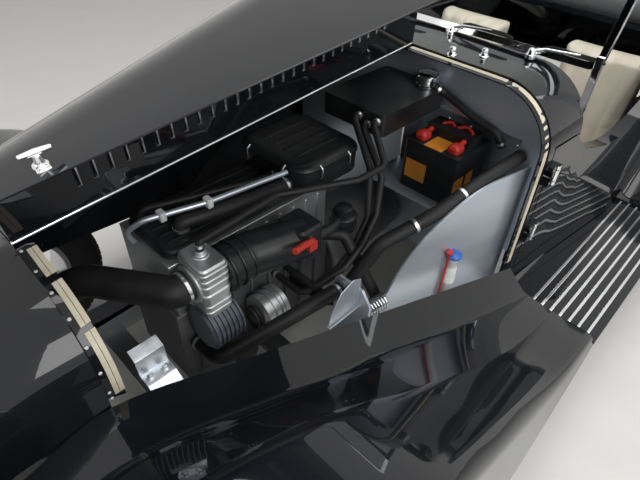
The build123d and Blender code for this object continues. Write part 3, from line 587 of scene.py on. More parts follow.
# Airbox: a black moulded box that sits on the cam cover. Its ribbed lid meets it at a seam
# and is held down by spring clips of bright wire.
airbox_work = bmesh.new()
add_moulding(airbox_work, (622, -30), 236, 264, 52,
    [(742.3, 5), (748, 1), (800, 0), (801, -3), (804, -3), (805, 0), (806.5, 0), (807.5, -2), (812, 1), (817, 6),
     (820.5, 13), (822.2, 24)])
for y in (-92, -50, -8, 34):
    add_moulding(airbox_work, (622, y), 150, 16, 6, [(822, 0), (824, 0.5), (825, 3)])
finish_piece("airbox_moulding", airbox_work, black_plastic, stands_for=("airbox",))
clips = bmesh.new()
for x, y, dx, dy in ((740.5, 40, 1, 0), (740.5, -100, 1, 0), (570, 102.5, 0, 1), (674, 102.5, 0, 1)):
    add_tube(clips, rounded_path([
        (x + dx, y + dy, 778), (x + 7 * dx, y + 7 * dy, 784), (x + 7 * dx, y + 7 * dy, 808),
        (x - 2 * dx, y - 2 * dy, 816)], 4, 3), 2.2, 8)
finish_piece("airbox_clips", clips, rivet_metal)

# Header tank, radiator, battery and junction box: black mouldings. The tank and battery
# stand at the bulkhead; red rubber boots cover the battery's terminals and leads.
for name, edge in (("header_tank", 5), ("radiator", 1), ("battery", 3), ("junction_box", 2.5)):
    dress(name, black_plastic, edge)
tank_cap = bmesh.new()
add_lathe(tank_cap, (235, 95, 899), UP,
    [(0, 26), (2, 30), (5, 30), (7, 23), (21, 23), (23, 32), (34, 32.5), (38, 29), (38.6, 12)], 40)
chrome = make_finish("chrome", (0.74, 0.75, 0.77), (0.86, 0.87, 0.88), (0.05, 0.12), 1.0, grain=300, relief=0.02)
finish_piece("tank_neck", tank_cap, chrome)
label_orange = make_finish(
    "label_orange", (0.62, 0.22, 0.02), (0.74, 0.33, 0.04), (0.35, 0.5), grain=500, relief=0.03)
bands = bmesh.new()
for low, high in (((219, 296.1, 640), (256, 296.6, 700)), ((270, 296.1, 640), (322, 296.6, 700)),
                  ((325.1, 128, 650), (325.6, 200, 712)), ((250, 176, 772.4), (322, 236, 772.9))):
    add_block(bands, low, high)
finish_piece("battery_bands", bands, label_orange)
boot_red = make_finish("boot_red", (0.42, 0.02, 0.015), (0.58, 0.045, 0.03), (0.36, 0.5), grain=600, relief=0.08)
boots = bmesh.new()
for x, y in ((290, 150), (290, 262)):
    add_moulding(boots, (x, y), 44, 38, 12, [(772.4, 3), (776, 0), (788, 0), (794, 5), (797, 12)])
    add_tube(boots, rounded_path([(x - 10, y, 784), (x - 42, y, 790), (x - 60, y + 8, 786)], 14), 8, 14)
for path in ([(232, 158, 786), (212, 168, 802), (204, 188, 808), (209, 204, 800)],
             [(232, 270, 786), (206, 262, 802), (200, 236, 810), (208, 212, 800)]):
    add_tube(boots, rounded_path(path, 16), 5, 12)
finish_piece("battery_boots", boots, boot_red)

# Hoses and pipes of the bay: moulded rubber between the radiator, engine, bulkhead and
# airbox, held by worm-drive clips.
black_rubber = make_finish(
    "black_rubber", (0.010, 0.010, 0.011), (0.019, 0.019, 0.020), (0.46, 0.62), blotch=14, grain=700, relief=0.15)
shader(black_rubber).inputs["Specular IOR Level"].default_value = 0.3
dress("coolant_hose", black_rubber)
HOSES = (
    (37, 90, ((1096, 112, 690), (1130, 112, 690), (1249, -56, 690), (1330, -110, 650), (1476.6, -118, 640))),
    (19, 30, ((1030, 5, 742.5), (1030, 5, 768), (901, 35, 768), (766, 52, 768), (740.5, 52, 768))),
    (8, 24, ((1083, -78, 742.5), (1083, -78, 785), (823, 25, 798), (764, 5, 778), (740.5, 5, 778))),
    (9, 26, ((1052, 112, 769), (1052, 112, 790), (817, 95, 790), (633, 196, 800), (545, 208, 810), (510, 128, 884),
        (484.8, 128, 884))),
    (9.5, 30, ((794, 70.5, 540), (794, 210, 540), (713, 240, 580), (647, 240, 620), (582, 226, 680),
        (530, 190, 760), (512, 98, 868), (484.8, 98, 868))),
    (9.5, 30, ((816, 70.5, 514), (816, 188, 514), (713, 214, 556), (647, 214, 596), (592, 206, 664),
        (556, 168, 790), (514, 66, 880), (484.8, 66, 880))),
    (16, 30, ((730, 66, 640), (730, 130, 640), (668, 192, 640), (660, 250, 560), (640, 300, 470),
        (640, 329, 300.5))),
    (20, 50, ((1080, 70.5, 448), (1080, 160, 448), (780, 266, 556), (760.3, 266, 556))),
    (11, 30, ((235, 126, 905), (215, 150, 890), (208, 250, 850), (205, 330, 830), (195.5, 352, 790))),
)
hoses = bmesh.new()
for radius, bend, points in HOSES:
    add_tube(hoses, rounded_path(points, bend, 8), radius, 20)
finish_piece("bay_hoses", hoses, black_rubber)
clamp_work = bmesh.new()
for radius, bend, points in HOSES:
    for foot, beyond in ((points[0], points[1]), (points[-1], points[-2])):
        run = (Vector(beyond) - Vector(foot)).normalized()
        add_lathe(clamp_work, Vector(foot) + run * 8, run,
                  [(0, radius + 0.2), (0.5, radius + 1.6), (8, radius + 1.6), (8.5, radius + 0.2)], 24)
for place, run in (((560, 331, 692), (-140, 65, 65)), ((420, 372, 740), (-138, 31, 45))):
    add_lathe(clamp_work, place, run, [(0, 19.2), (0.5, 21), (9, 21), (9.5, 19.2)], 24)
finish_piece("hose_clamps", clamp_work, rivet_metal)
pipe = bmesh.new()
add_tube(pipe, rounded_path(
    [(1120.5, -60, 724), (1135, -60, 760), (1100, -30, 792), (960, 20, 800), (800, 40, 800), (741, 48, 800)],
    40, 8), 7, 16)
finish_piece("vent_pipe", pipe, bare_aluminium)
clip_white = make_finish("clip_white", (0.62, 0.63, 0.62), (0.76, 0.77, 0.76), (0.35, 0.5), grain=500, relief=0.05)
white_clips = bmesh.new()
for place in ((1062, -16, 794), (960, 20, 800)):
    add_moulding(white_clips, place[:2], 16, 24, 4,
        [(place[2] - 12, 1), (place[2] - 10, 0), (place[2] + 10, 0), (place[2] + 12, 1)])
finish_piece("pipe_clips", white_clips, clip_white, edge=1)

# Washer filler: a white moulded neck that stands beside the side panel, with a blue
# snap-on cap and a red level rod.
FILLER_X, FILLER_Y = 440, 406
neck_work = bmesh.new()
add_lathe(neck_work, (FILLER_X, FILLER_Y, 400), UP,
    [(0, 13), (60, 13), (70, 20), (120, 18), (124, 15), (150, 15), (156, 19), (161, 19)], 28)
finish_piece("washer_neck", neck_work, clip_white, stands_for=("washer_filler",))
cap_blue = make_finish("cap_blue", (0.02, 0.10, 0.42), (0.04, 0.16, 0.58), (0.3, 0.42), grain=600, relief=0.06)
cap_work = bmesh.new()
add_lathe(cap_work, (FILLER_X, FILLER_Y, 561), UP, [(0, 20), (1, 22), (4, 23), (8, 22), (12, 18), (15, 6)], 40)
add_block(cap_work, (418, 392, 570), (462, 399, 582))
finish_piece("washer_cap", cap_work, cap_blue, edge=1.2)
red_clip = bmesh.new()
add_block(red_clip, (452, 395, 580), (472, 409, 590))
add_tube(red_clip, [Vector((462, 402, z)) for z in (400, 500, 581)], 3, 10)
finish_piece("level_clip", red_clip, boot_red, edge=1)

# Bay brackets: bright folded plates beside the side panel, a blank plate, and the recess
# of aluminium sheet round the battery. Rubber grommets and a red plug sit among them.
plates = bmesh.new()
add_prism(plates, [(250, 300.3), (368, 300.3), (368, 560), (340, 600), (262, 600), (250, 585)],
          (752, 0, 0), (0, 1, 0), UP, 8)
add_prism(plates, [(760, 560), (870, 552), (862, 590), (830, 640), (790, 655), (760, 640)],
          (0, 334, 0), (1, 0, 0), UP, 3)
add_block(plates, (760, 320, 540), (866, 336, 543))
add_block(plates, (100, 13, 612.3), (103, 399, 826))
add_block(plates, (103, 13, 612.3), (188, 16, 820))
add_block(plates, (103, 396, 612.3), (188, 399, 800))
add_prism(plates, [(0, 0), (42, 0), (42, 92), (0, 92)],
          PANEL_CORNER + UP * 560 + SIDE_RUN * 46 + PANEL_OUT * 3, SIDE_RUN, UP, -1.5)
finish_piece("bay_brackets", plates, bare_aluminium, edge=0.8)
trim = bmesh.new()
for reach, z, size in ((190, 560, 15), (262, 592, 13), (330, 470, 11)):
    place = PANEL_CORNER + UP * z + SIDE_RUN * reach + PANEL_OUT * 2.5
    add_lathe(trim, place, PANEL_OUT, [(0, size), (2, size + 2), (5, size + 2), (7, size - 3), (7.2, 2)], 24)
finish_piece("panel_grommets", trim, black_rubber)
plug = bmesh.new()
add_tube(plug, rounded_path([(812, 214, 715), (850, 222, 728), (884, 232, 738)], 30), 9, 12)
add_block(plug, (800, 200, 690), (826, 222, 716))
finish_piece("red_plug", plug, boot_red, edge=1.5)

# Bonnet catch plate: a folded plate with two bolts, under the bonnet's front corner. It
# is zinc-plated steel and reaches in from below the wing's inner edge.
zinc = make_finish(
    "zinc_plate", (0.50, 0.54, 0.58), (0.66, 0.69, 0.72), (0.28, 0.42), 0.85, blotch=40, grain=500, relief=0.1)
FOLDED_PLATE = ((276, 625), (277, 628), (252, 646), (248, 648), (219, 650), (216, 690), (190, 700), (189, 697),
                (213, 688), (216, 647), (248, 645))
folded = bmesh.new()
add_prism(folded, FOLDED_PLATE, (1220, 0, 0), (0, 1, 0), UP, 62)
for x in (1235, 1267):
    add_lathe(folded, (x, 234, 647), UP, [(0, 9), (5, 9), (5.5, 6), (12, 6), (13, 4)], 6)
finish_piece("catch_plate", folded, zinc, edge=0.8)

# Silver coil: an earth strap of bright wire, wound in nine turns and lying beside the
# side panel.
coil_from, coil_to = Vector((742, 332, 498)), Vector((660, 344, 498))
coil_side = (coil_to - coil_from).cross(UP).normalized()
WIRE_TURNS, WIRE_STEPS = 9, 18
coil_work = bmesh.new()
add_tube(coil_work, [
    coil_from.lerp(coil_to, k / (WIRE_TURNS * WIRE_STEPS))
    + (UP * cos(2 * pi * k / WIRE_STEPS) + coil_side * sin(2 * pi * k / WIRE_STEPS)) * 20
    for k in range(WIRE_TURNS * WIRE_STEPS + 1)], 3, 10)
finish_piece("wound_strap", coil_work, rivet_metal)

# Body panels: sheet metal in deep gloss black under clear lacquer. The doors, wings,
# scuttle, tail and bonnet halves are pressed and rolled, and the lacquer has a faint ripple.
body_black = make_finish(
    "body_black", (0.004, 0.005, 0.007), (0.009, 0.010, 0.013), (0.12, 0.20), blotch=3, grain=240, relief=0.035,
    depth=0.0004)
shader(body_black).inputs["Specular IOR Level"].default_value = 0.05
shader(body_black).inputs["Coat Weight"].default_value = 0.85
shader(body_black).inputs["Coat Roughness"].default_value = 0.02
for name in ("body_tub", "door_left", "door_right", "rear_body", "radiator_cowl", "bonnet_left", "bonnet_right"):
    dress(name, body_black, 0.8 if "bonnet" in name else 0.0, 28)
dress("running_boards", body_black, 3)

# Wings: each is one pressing, rolled from the bonnet's foot line over a valley and a round
# crown to a turned lip, and sweeping down to the running board, with a round wheel arch.
# Columns: x, inner y and z, valley y and z, crown inner and outer y, crown z, lip y and z.
# The crown's outer y is taken a little further out, by CROWN_EXTRA.
WING_ROWS = {
    "front": (
        (1885, 540, 430, 556, 440, 590, 690, 486, 725, 425), (1800, 420, 520, 450, 530, 540, 720, 620, 790, 420),
        (1660, 250, 570, 330, 585, 520, 740, 725, 818, 400), (1500, 240, 620, 350, 625, 520, 745, 785, 823, 410),
        (1352, 250, 660, 370, 650, 530, 745, 795, 823, 420), (1130, 297, 619, 420, 600, 560, 745, 745, 823, 400),
        (850, 358, 560, 470, 530, 610, 750, 590, 821, 360), (520, 429, 490, 520, 440, 650, 755, 430, 812, 330),
        (200, 496, 420, 560, 360, 660, 755, 348, 800, 312)),
    "rear": (
        (-640, 545, 380, 590, 338, 660, 750, 348, 800, 312), (-760, 540, 500, 590, 455, 640, 750, 480, 806, 330),
        (-940, 535, 640, 590, 640, 650, 750, 680, 818, 360), (-1165, 515, 700, 580, 705, 650, 750, 765, 823, 400),
        (-1400, 470, 690, 560, 700, 640, 750, 735, 821, 400), (-1620, 440, 590, 540, 600, 620, 730, 620, 800, 390),
        (-1800, 430, 440, 510, 440, 600, 700, 450, 760, 380)),
}
HUB_Z = 307
REAR_AXLE_X = -1165
WING_SKIN = 5
CROWN_EXTRA = 30
ROW_STEPS = 7
FOLD_BEND, FOLD_STEPS = 52, 9


def eased_rows(rows, parts):
    """Rows between the given ones, on a smooth run through all of them."""
    eased = []
    for k in range(len(rows) - 1):
        a, b, c, d = rows[max(k - 1, 0)], rows[k], rows[k + 1], rows[min(k + 2, len(rows) - 1)]
        for part in range(parts + (k == len(rows) - 2)):
            t = part / parts
            row = []
            for column in range(len(b)):
                before = (c[column] - a[column]) / (c[0] - a[0]) * (c[0] - b[0])
                after = (d[column] - b[column]) / (d[0] - b[0]) * (c[0] - b[0])
                row.append(b[column] * (2 * t ** 3 - 3 * t * t + 1) + c[column] * (3 * t * t - 2 * t ** 3)
                           + before * (t ** 3 - 2 * t * t + t) + after * (t ** 3 - t * t))
            row[0] = b[0] + (c[0] - b[0]) * t
            eased.append(row)
    return eased


for place, axle_x, arch in (("front", FRONT_AXLE_X, 345), ("rear", REAR_AXLE_X, 335)):
    for side, hand in SIDES:
        pressing = bmesh.new()
        rings = []
        for row in eased_rows(WING_ROWS[place], ROW_STEPS):
            x, inner_y, inner_z, valley_y, valley_z, rise_y, fall_y, crown_z, lip_y, lip_z = row
            spans = [rounded_path([
                (x, inner_y, inner_z - inset), (x, valley_y, valley_z - inset), (x, rise_y, crown_z - inset),
                (x, fall_y + CROWN_EXTRA - inset, crown_z - inset), (x, lip_y - inset, lip_z)],
                FOLD_BEND, FOLD_STEPS)
                for inset in (0, WING_SKIN)]
            rings.append([Vector((p.x, side * p.y, p.z)) for p in spans[0] + spans[1][::-1]])
        add_rings(pressing, rings)
        name = f"{place}_wing_{hand}"
        skin = finish_piece(name + "_pressing", pressing, body_black, stands_for=(name,), angle=44)
        cutter = bmesh.new()
        add_lathe(cutter, (axle_x, side * 545, HUB_Z), (0, side, 0), [(0, arch), (400, arch)], 96)
        hole = put_in_scene("arch", mesh_of("arch", cutter))
        cut = skin.modifiers.new("wheel_arch", "BOOLEAN")
        cut.object = hole
        cut.solver = "EXACT"
        bpy.context.view_layer.update()
        open_skin = baked(skin)
        skin.modifiers.remove(cut)
        skin.data = open_skin
        open_skin.materials.clear()
        open_skin.materials.append(body_black)
        open_skin.set_sharp_from_angle(angle=radians(44))
        bpy.data.objects.remove(hole)

# Louvres: each slot in the bonnet's top has a pressed hood that leaves the skin at its
# front and stands open to the rear.
BONNET_OPEN = 86
LOUVRE_COUNT, LOUVRE_PITCH, LOUVRE_FIRST_X = 27, 33.2, 1207
# The slots' inner ends at cowl and scuttle, and their outer ends as a share of the shoulder.
SLOT_INNER, SLOT_OUTER, SLOT_MARGIN = (48, 89), 0.7, 1
HOOD_SECTION = ((-2.5, 8.2), (2, 7.0), (6, 3.6), (9.5, 0.25), (9.5, -0.8), (4.8, 1.0), (1.4, 5.8), (-2.5, 7.1))
HOOD_STEPS = 8
CROWN_SLOPE = 0.083
hinge_from, hinge_to = Vector((COWL_X, 0, COWL_SECTION[1])), Vector((SCUTTLE_X, 0, SCUTTLE_SECTION[1]))
hinge_turn = Matrix.Rotation(radians(-BONNET_OPEN), 4, (hinge_to - hinge_from).normalized())
raise_left = Matrix.Translation(hinge_from) @ hinge_turn @ Matrix.Translation(-hinge_from)
for side, name in SIDES:
    hoods = bmesh.new()
    for step in range(LOUVRE_COUNT):
        x = LOUVRE_FIRST_X - LOUVRE_PITCH * step
        share = (COWL_X - x) / (COWL_X - SCUTTLE_X)
        shoulder = COWL_SECTION[0] + (SCUTTLE_SECTION[0] - COWL_SECTION[0]) * share
        near = SLOT_INNER[0] + (SLOT_INNER[1] - SLOT_INNER[0]) * share + SLOT_MARGIN
        far = shoulder * SLOT_OUTER - SLOT_MARGIN
        skin = section_at(x, 0, 4.5, 14)
        rings = []
        for k in range(HOOD_STEPS + 1):
            y = near + (far - near) * k / HOOD_STEPS
            z = next(a.y + (b.y - a.y) * (y - a.x) / (b.x - a.x) for a, b in zip(skin, skin[1:]) if a.x <= y <= b.x)
            ease = min(1, 4 * min(k, HOOD_STEPS - k) / HOOD_STEPS + 0.25)
            rings.append([Vector((x + dx, side * y, z - CROWN_SLOPE * dx + dz * ease + (1 - ease) * min(dz, 0.2)))
                          for dx, dz in HOOD_SECTION])
        if side == 1:
            rings = [[raise_left @ point for point in ring] for ring in rings]
        add_rings(hoods, rings)
    finish_piece("louvre_hoods_" + name, hoods, body_black, "bonnet_" + name, angle=60)
dress("hinge_rod", chrome)

# Bonnet seats: cream fibre tape on the flanges of cowl and scuttle, where the bonnet lies,
# with white rivet heads along the cowl's edge.
tape_cream = make_finish(
    "tape_cream", (0.60, 0.54, 0.40), (0.74, 0.68, 0.53), (0.75, 0.9), blotch=30, grain=900, relief=0.5,
    depth=0.0005)
TAPE_INSET, TAPE_STEPS = 6.9, 39


def add_tape(work, x_low, x_high, wall, start, end, side):
    """Tape laid on the bonnet's seat between two distances from the crown."""
    rings = []
    for k in range(TAPE_STEPS + 1):
        reach = start + (end - start) * k / TAPE_STEPS
        ring = []
        for x, rise in ((x_low, 0), (x_high, 0), (x_high, wall), (x_low, wall)):
            point, _ = along_section(section_at(x, TAPE_INSET - rise), reach)
            ring.append(Vector((x, side * point.x, point.y)))
        rings.append(ring)
    add_rings(work, rings)


tapes = bmesh.new()
for side in (1, -1):
    add_tape(tapes, 203, 217, 0.5, 8, 935, side)
    for start, end in ((22, 97), (115, 210), (222, 370)):
        for low, high in ((1319, 1327.5), (1328.5, 1337)):
            add_tape(tapes, low, high, 1.1, start, end, side)
finish_piece("bonnet_tapes", tapes, tape_cream, angle=50)
RIVET_X = 1345
cowl_spots = []
for side in (1, -1):
    for k in range(8):
        point, run = along_section(section_at(RIVET_X, 5.5), 20 + 56 * k)
        cowl_spots.append(((RIVET_X, side * point.x, point.y), (0, -side * run.y, run.x), (1, 0, 0)))
set_on_points("cowl_rivets", cowl_spots, (7, 7, 3.4), "dome", clip_white)

# Catches: chrome T-handles low on each bonnet side, front and rear, that turn in a rosette
# over a short hook. The left ones are raised with their half of the bonnet.
for side, name in SIDES:
    catch = bmesh.new()
    for x in (1272, 420):
        point = section_at(x)[-1]
        low = Vector((x, side * (point.x + 1), point.y + 26))
        out = Vector((0, side, 0))
        add_lathe(catch, low, out, [(0, 9), (2, 11), (4, 10), (6, 6), (16, 5), (18, 5)], 24)
        add_tube(catch, [low + out * 22 + Vector((reach, 0, 0)) for reach in (-20, 0, 20)], [3, 4.6, 3], 14)
        add_block(catch, (x - 9, min(low.y, low.y + side * 4), low.z - 15),
                  (x + 9, max(low.y, low.y + side * 4), low.z - 3))
    if side == 1:
        bmesh.ops.transform(catch, matrix=Matrix.Scale(0.001, 4) @ raise_left @ Matrix.Scale(1000, 4),
                            verts=catch.verts)
    finish_piece("catches_" + name, catch, chrome, "bonnet_" + name, edge=1)

# Door hinges: chromed barrels on outside pins at each door's front edge. The middle
# barrel turns with the door, the end ones are fixed to the post.
HINGE_X, HINGE_Y = 167.5, 506
for side, hand in SIDES:
    leaf, post = bmesh.new(), bmesh.new()
    for z in (560, 760):
        add_lathe(leaf, (HINGE_X, side * HINGE_Y, z - 17.5), UP, [(0, 7.2), (0.6, 8.6), (34.4, 8.6), (35, 7.2)], 24)
        for low in (z - 30, z + 19):
            add_lathe(post, (HINGE_X, side * HINGE_Y, low), UP, [(0, 5), (0.6, 8.6), (10.4, 8.6), (11, 5)], 24)
    finish_piece("hinge_barrels_" + hand, leaf, chrome, "door_" + hand)
    finish_piece("hinge_ends_" + hand, post, chrome)

# Scuttle fittings: chromed washer jets and wiper posts with their arms, and rubber wiper
# blades parked along the foot of the screen.
WIPER_POSTS = (-250, 40, 300)
jets = bmesh.new()
for x, y, z in ((184, 130, 988.5), (128, 199, 990), (128, -199, 990)):
    add_lathe(jets, (x, y, z - 4), UP, [(0, 15), (5, 15), (8, 11), (14, 9), (20, 10), (24, 8), (26, 3)], 24)
for y in WIPER_POSTS:
    add_lathe(jets, (58, y, 996), UP, [(0, 15), (10, 15), (14, 11), (24, 9), (27, 4)], 24)
    add_tube(jets, rounded_path([(58, y, 1014), (46, y + 30, 1024), (36, y + 120, 1030)], 20, 5),
        [5.5] + [4] * 6 + [3.5], 12)
finish_piece("jets_and_arms", jets, chrome)
blades = bmesh.new()
for y in WIPER_POSTS:
    add_prism(blades, [(-66, 0), (96, 0), (96, 6), (70, 12), (-46, 12), (-66, 6)],
              (33, y + 90, 1021), (0, 1, 0), (-0.37, 0, 0.93), 6)
finish_piece("wiper_blades", blades, black_rubber, edge=1)

# Windscreen: a chromed frame on two side posts, raked back, with one sheet of flat clear
# glass.
dress("windscreen_frame", chrome, 2)
clear_glass = make_finish("clear_glass", (0.90, 0.94, 0.93), (0.94, 0.97, 0.96), (0.0, 0.03), grain=2, relief=0.0)
shader(clear_glass).inputs["Transmission Weight"].default_value = 1.0
shader(clear_glass).inputs["IOR"].default_value = 1.06
dress("windscreen_glass", clear_glass)

# Grille and bumpers: chromed slats in the cowl's mouth, and chromed bars front and rear
# on brackets from the rails.
dress("grille_slats", chrome, 1)
dress("bumpers", chrome, 5)

# Headlamps: spun black shells with chrome rims, bright reflectors and domed glasses. The
# tail lamps have red lenses in chrome rims.
LAMP_X, LAMP_Y, LAMP_Z = 1640, 395, 705
shells, rims_work, lenses, cores = bmesh.new(), bmesh.new(), bmesh.new(), bmesh.new()
for side in (1, -1):
    at = (LAMP_X, side * LAMP_Y, LAMP_Z)
    add_lathe(shells, at, (1, 0, 0),
        [(-98, 0), (-94, 24), (-80, 50), (-60, 66), (-40, 74), (0, 82), (49, 88), (50, 40)], 48)
    add_lathe(rims_work, at, (1, 0, 0),
        [(48, 80), (48, 92), (52, 97), (60, 98), (66, 94), (66.5, 86), (58, 84), (57, 80)], 48)
    add_lathe(cores, at, (1, 0, 0), [(49.6, 0), (50, 82), (51, 82), (50.6, 0)], 48)
    add_lathe(lenses, at, (1, 0, 0), [(56, 0), (56, 85.5), (60, 85), (70, 70), (77, 45), (80, 20), (80.5, 0)], 48)
finish_piece("lamp_shells", shells, body_black, stands_for=("headlamps",))
finish_piece("lamp_rims", rims_work, chrome)
reflector = make_finish(
    "lamp_reflector", (0.62, 0.63, 0.65), (0.80, 0.81, 0.83), (0.1, 0.2), 1.0, grain=90, relief=0.5, depth=0.002)
finish_piece("lamp_reflectors", cores, reflector)
finish_piece("lamp_glasses", lenses, clear_glass)
TAIL_LAMP_Y, TAIL_LAMP_Z = 320, 520
tail_work, tail_rims = bmesh.new(), bmesh.new()
for side in (1, -1):
    add_lathe(tail_rims, (-1788, side * TAIL_LAMP_Y, TAIL_LAMP_Z), (-1, 0, 0),
        [(0, 40), (0.5, 50), (8, 51), (14, 47), (15, 40)], 40)
    add_lathe(tail_work, (-1790, side * TAIL_LAMP_Y, TAIL_LAMP_Z), (-1, 0, 0),
        [(0, 45), (10, 45), (22, 38), (31, 24), (35, 10), (36, 0)], 40)
finish_piece("tail_rims", tail_rims, chrome)
lens_red = make_finish(
    "lens_red", (0.36, 0.006, 0.004), (0.48, 0.012, 0.008), (0.08, 0.16), grain=120, relief=0.3, depth=0.001)
shader(lens_red).inputs["Coat Weight"].default_value = 0.6
finish_piece("tail_lenses", tail_work, lens_red)

# Dashboard: a padded board in black leather with five chrome-ringed dials, and the
# leather-bound steering wheel. The dials have plain marks.
dash_leather = make_finish(
    "dash_leather", (0.018, 0.018, 0.019), (0.034, 0.033, 0.032), (0.42, 0.58), blotch=20, grain=520, relief=0.45,
    depth=0.0005)
dress("dashboard", dash_leather, 3)
bezels, faces, marks = bmesh.new(), bmesh.new(), bmesh.new()
for y, z, size in ((-228, 888, 46), (-368, 888, 46), (-90, 892, 28), (-20, 892, 28), (50, 892, 28)):
    add_lathe(bezels, (30.2, y, z), (-1, 0, 0),
        [(0, size - 3), (0, size + 3), (6, size + 3), (9, size), (9, size - 3), (2, size - 3.2)], 40)
    add_lathe(faces, (30.1, y, z), (-1, 0, 0), [(0, size - 3), (2.5, size - 3), (2.6, 0)], 40)
    for k in range(11):
        turn = radians(-130 + 26 * k)
        foot = Vector((27.2, y - (size - 12) * sin(turn), z + (size - 12) * cos(turn)))
        head = Vector((27.2, y - (size - 6) * sin(turn), z + (size - 6) * cos(turn)))
        add_tube(marks, [foot, head], 0.8, 6)
    add_tube(marks, [Vector((26.4, y, z)), Vector((26.4, y + (size - 14) * 0.8, z - (size - 14) * 0.55))],
        [1.6, 0.6], 6)
finish_piece("dial_rings", bezels, chrome)
finish_piece("dial_faces", faces, black_plastic)
finish_piece("dial_marks", marks, clip_white)
dress("steering_wheel", dash_leather, 1)

# Seats: two buckets, each a stuffed cushion and back in pale leather that swells between
# its sewn channels, on a low black base.
seat_leather = make_finish(
    "seat_leather", (0.56, 0.50, 0.40), (0.66, 0.60, 0.50), (0.42, 0.56), blotch=9, grain=330, relief=0.4,
    depth=0.0006)
SEAT_Y = 298
SEAT_WIDTH = 332
CLOTH_STEPS = 15
SWELL = 0.014
CHANNELS = (-0.09, -0.03, 0.03, 0.09)
CHANNEL_HALF, CHANNEL_DEPTH = 0.012, 0.006
SEAT_PADS = (
    ("cushion", UP, ((-166, 330), (-166, 462), (-190, 470), (-560, 436), (-576, 330))),
    ("back", Vector((0.96, 0, 0.28)),
     ((-574, 380), (-584, 440), (-690, 838), (-712, 852), (-772, 848), (-700, 380))),
)
for side, hand in SIDES:
    for part, outward, outline in SEAT_PADS:
        pad = bmesh.new()
        add_prism(pad, outline, (0, side * SEAT_Y - SEAT_WIDTH / 2, 0), (1, 0, 0), UP, -SEAT_WIDTH)
        made = put_in_scene(f"seat_{part}_{hand}", mesh_of("seat_" + part, pad))
        bpy.context.view_layer.objects.active = made
        eased = made.modifiers.new("eased", "BEVEL")
        eased.width = 0.03
        eased.segments = 4
        remade = made.modifiers.new("remesh", "REMESH")
        remade.mode = "VOXEL"
        remade.voxel_size = 0.012
        with bpy.context.temp_override(object=made, active_object=made, selected_objects=[made]):
            bpy.ops.object.modifier_apply(modifier="eased")
            bpy.ops.object.modifier_apply(modifier="remesh")
        mesh = made.data
        rest = [v.co.copy() for v in mesh.vertices]
        cloth = made.modifiers.new("stuffing", "CLOTH")
        cloth.settings.use_pressure = True
        cloth.settings.uniform_pressure_force = 4
        cloth.settings.effector_weights.gravity = 0
        cloth.settings.quality = 4
        for step in range(1, CLOTH_STEPS + 1):
            bpy.context.scene.frame_set(step)
        held = baked(made)
        swollen = [v.co.copy() for v in held.vertices]
        made.modifiers.remove(cloth)
        bpy.data.meshes.remove(held)
        bpy.context.scene.frame_set(1)
        for vert, start, end in zip(mesh.vertices, rest, swollen):
            moved = end - start
            vert.co = start + moved * min(1, SWELL / max(moved.length, SWELL))
        for vert in mesh.vertices:
            across = vert.co.y - side * SEAT_Y / 1000
            for channel in CHANNELS:
                gap = abs(across - channel)
                if gap < CHANNEL_HALF and vert.normal.dot(outward) > 0.5:
                    vert.co -= outward * (CHANNEL_DEPTH * (1 - gap / CHANNEL_HALF))
        mesh.materials.clear()
        mesh.materials.append(seat_leather)
        mesh.polygons.foreach_set("use_smooth", [True] * len(mesh.polygons))
        softened = made.modifiers.new("softened", "SUBSURF")
        softened.levels = softened.render_levels = 1
        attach(made, "root")
seat_base = bmesh.new()
for side in (1, -1):
    add_moulding(seat_base, (-430, side * SEAT_Y), 500, 320, 20, [(312.4, 4), (316, 0), (338, 0), (342, 6)])
finish_piece("seat_frames", seat_base, dash_leather, stands_for=("seats",))

# Hood cover: the folded hood lies as a soft roll under black cloth behind the seats, and
# tapers at its ends.
hood_cloth = make_finish(
    "hood_cloth", (0.014, 0.014, 0.016), (0.028, 0.028, 0.030), (0.8, 0.95), blotch=12, grain=620, relief=0.6,
    depth=0.0006)
shader(hood_cloth).inputs["Sheen Weight"].default_value = 0.3
ROLL_X, ROLL_Z, ROLL_HALF = -929, 938, 430
ROLL_STEPS, ROLL_SIDES = 40, 28
roll = bmesh.new()
rings = []
for k in range(ROLL_STEPS + 1):
    y = -ROLL_HALF + 2 * ROLL_HALF * k / ROLL_STEPS
    swell = 1 + 0.03 * sin(k * 1.9) + 0.02 * sin(k * 3.7)
    end = min(1, min(k, ROLL_STEPS - k) / 4 + 0.15)
    rings.append([Vector((ROLL_X + 96 * end * swell * cos(a), y, ROLL_Z + 40 * end * swell * sin(a)))
                  for a in (2 * pi * s / ROLL_SIDES for s in range(ROLL_SIDES))])
add_rings(roll, rings)
roll_piece = finish_piece("hood_cover", roll, hood_cloth, angle=80)

# Tread strips: seven bright metal strips laid lengthwise on each running board, with eased
# edges.
strip_spots = [((-220, side * (590 + 30 * k), 326.6), UP, (1, 0, 0)) for side in (1, -1) for k in range(7)]
set_on_points("tread_strips", strip_spots, (800, 9, 5), "block", chrome, edge=1.2)

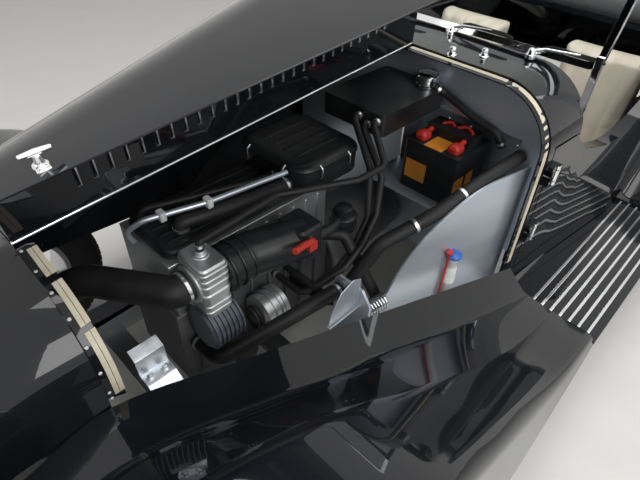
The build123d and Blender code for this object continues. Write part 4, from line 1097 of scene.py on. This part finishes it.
# Wheels: black rubber tyres with a grooved tread of blocks over rounded shoulders, on silver
# wire wheels held by chromed two-eared spinners.
tyre_rubber = make_finish(
    "tyre_rubber", (0.014, 0.014, 0.014), (0.026, 0.026, 0.025), (0.68, 0.85), blotch=9, grain=360, relief=0.3,
    depth=0.0005)
wheel_silver = make_finish(
    "wheel_silver", (0.56, 0.57, 0.58), (0.66, 0.67, 0.68), (0.22, 0.34), 0.85, grain=500, relief=0.06)
WHEEL_Y = 672.5
TYRE_SIDES = 96
TREAD_BLOCKS = 72
EAR_CORNERS = ((-1, -1), (1, -1), (1, 1), (-1, 1))
tyre_wall = [(-76, 200.2), (-84, 208), (-90, 226), (-92.5, 250), (-91, 272), (-86, 289), (-76, 299), (-62, 302.5)]
grooves = [(groove + w, r) for groove in (-40, 0, 40) for w, r in ((-5, 303), (-4, 299), (4, 299), (5, 303))]
profile = tyre_wall + grooves + [(-w, r) for w, r in reversed(tyre_wall)]
for axle_x, side, tag in ((FRONT_AXLE_X, 1, "front_left"), (FRONT_AXLE_X, -1, "front_right"),
                          (REAR_AXLE_X, 1, "rear_left"), (REAR_AXLE_X, -1, "rear_right")):
    body = "wheel_" + tag
    rubber = bmesh.new()
    centre = Vector((axle_x, side * WHEEL_Y, HUB_Z))
    rings = []
    for k in range(TYRE_SIDES):
        turn = 2 * pi * k / TYRE_SIDES
        rings.append([centre + Vector((r * cos(turn), w, r * sin(turn))) for w, r in profile])
    add_rings(rubber, rings, loop=True)
    finish_piece("tyre_" + tag + "_carcass", rubber, tyre_rubber, body, stands_for=("tyre_" + tag,),
        angle=40)
    tread = []
    for k in range(TREAD_BLOCKS):
        for w, shift in ((-57, 0), (-20, 0.5), (20, 0), (57, 0.5)):
            turn = 2 * pi * (k + shift) / TREAD_BLOCKS
            out = Vector((cos(turn), 0, sin(turn)))
            tread.append((centre + Vector((0, w, 0)) + out * 303.5, out, (0, 1, 0)))
    set_on_points("tread_" + tag, tread, (29, 20, 6.4), "block", tyre_rubber, body)
    dress("rim_" + tag, wheel_silver, 0, 40)
    spinner = bmesh.new()
    add_lathe(spinner, centre + Vector((0, side * 74.2, 0)), (0, side, 0),
        [(0, 30), (0.5, 36), (6, 36), (10, 30), (16, 20), (22, 8), (23, 0)], 32)
    foot = centre + Vector((0, side * 80, 0))
    for ear in (1, -1):
        wing, across = Vector((ear, 0, 0)), Vector((0, 0, ear))
        add_rings(spinner, [
            [foot + wing * reach + across * (u * width) + Vector((0, side * (v * 5), 0)) for u, v in EAR_CORNERS]
            for reach, width in ((20, 12), (44, 14), (66, 9))])
    finish_piece("spinner_" + tag, spinner, chrome, body, edge=1.5)
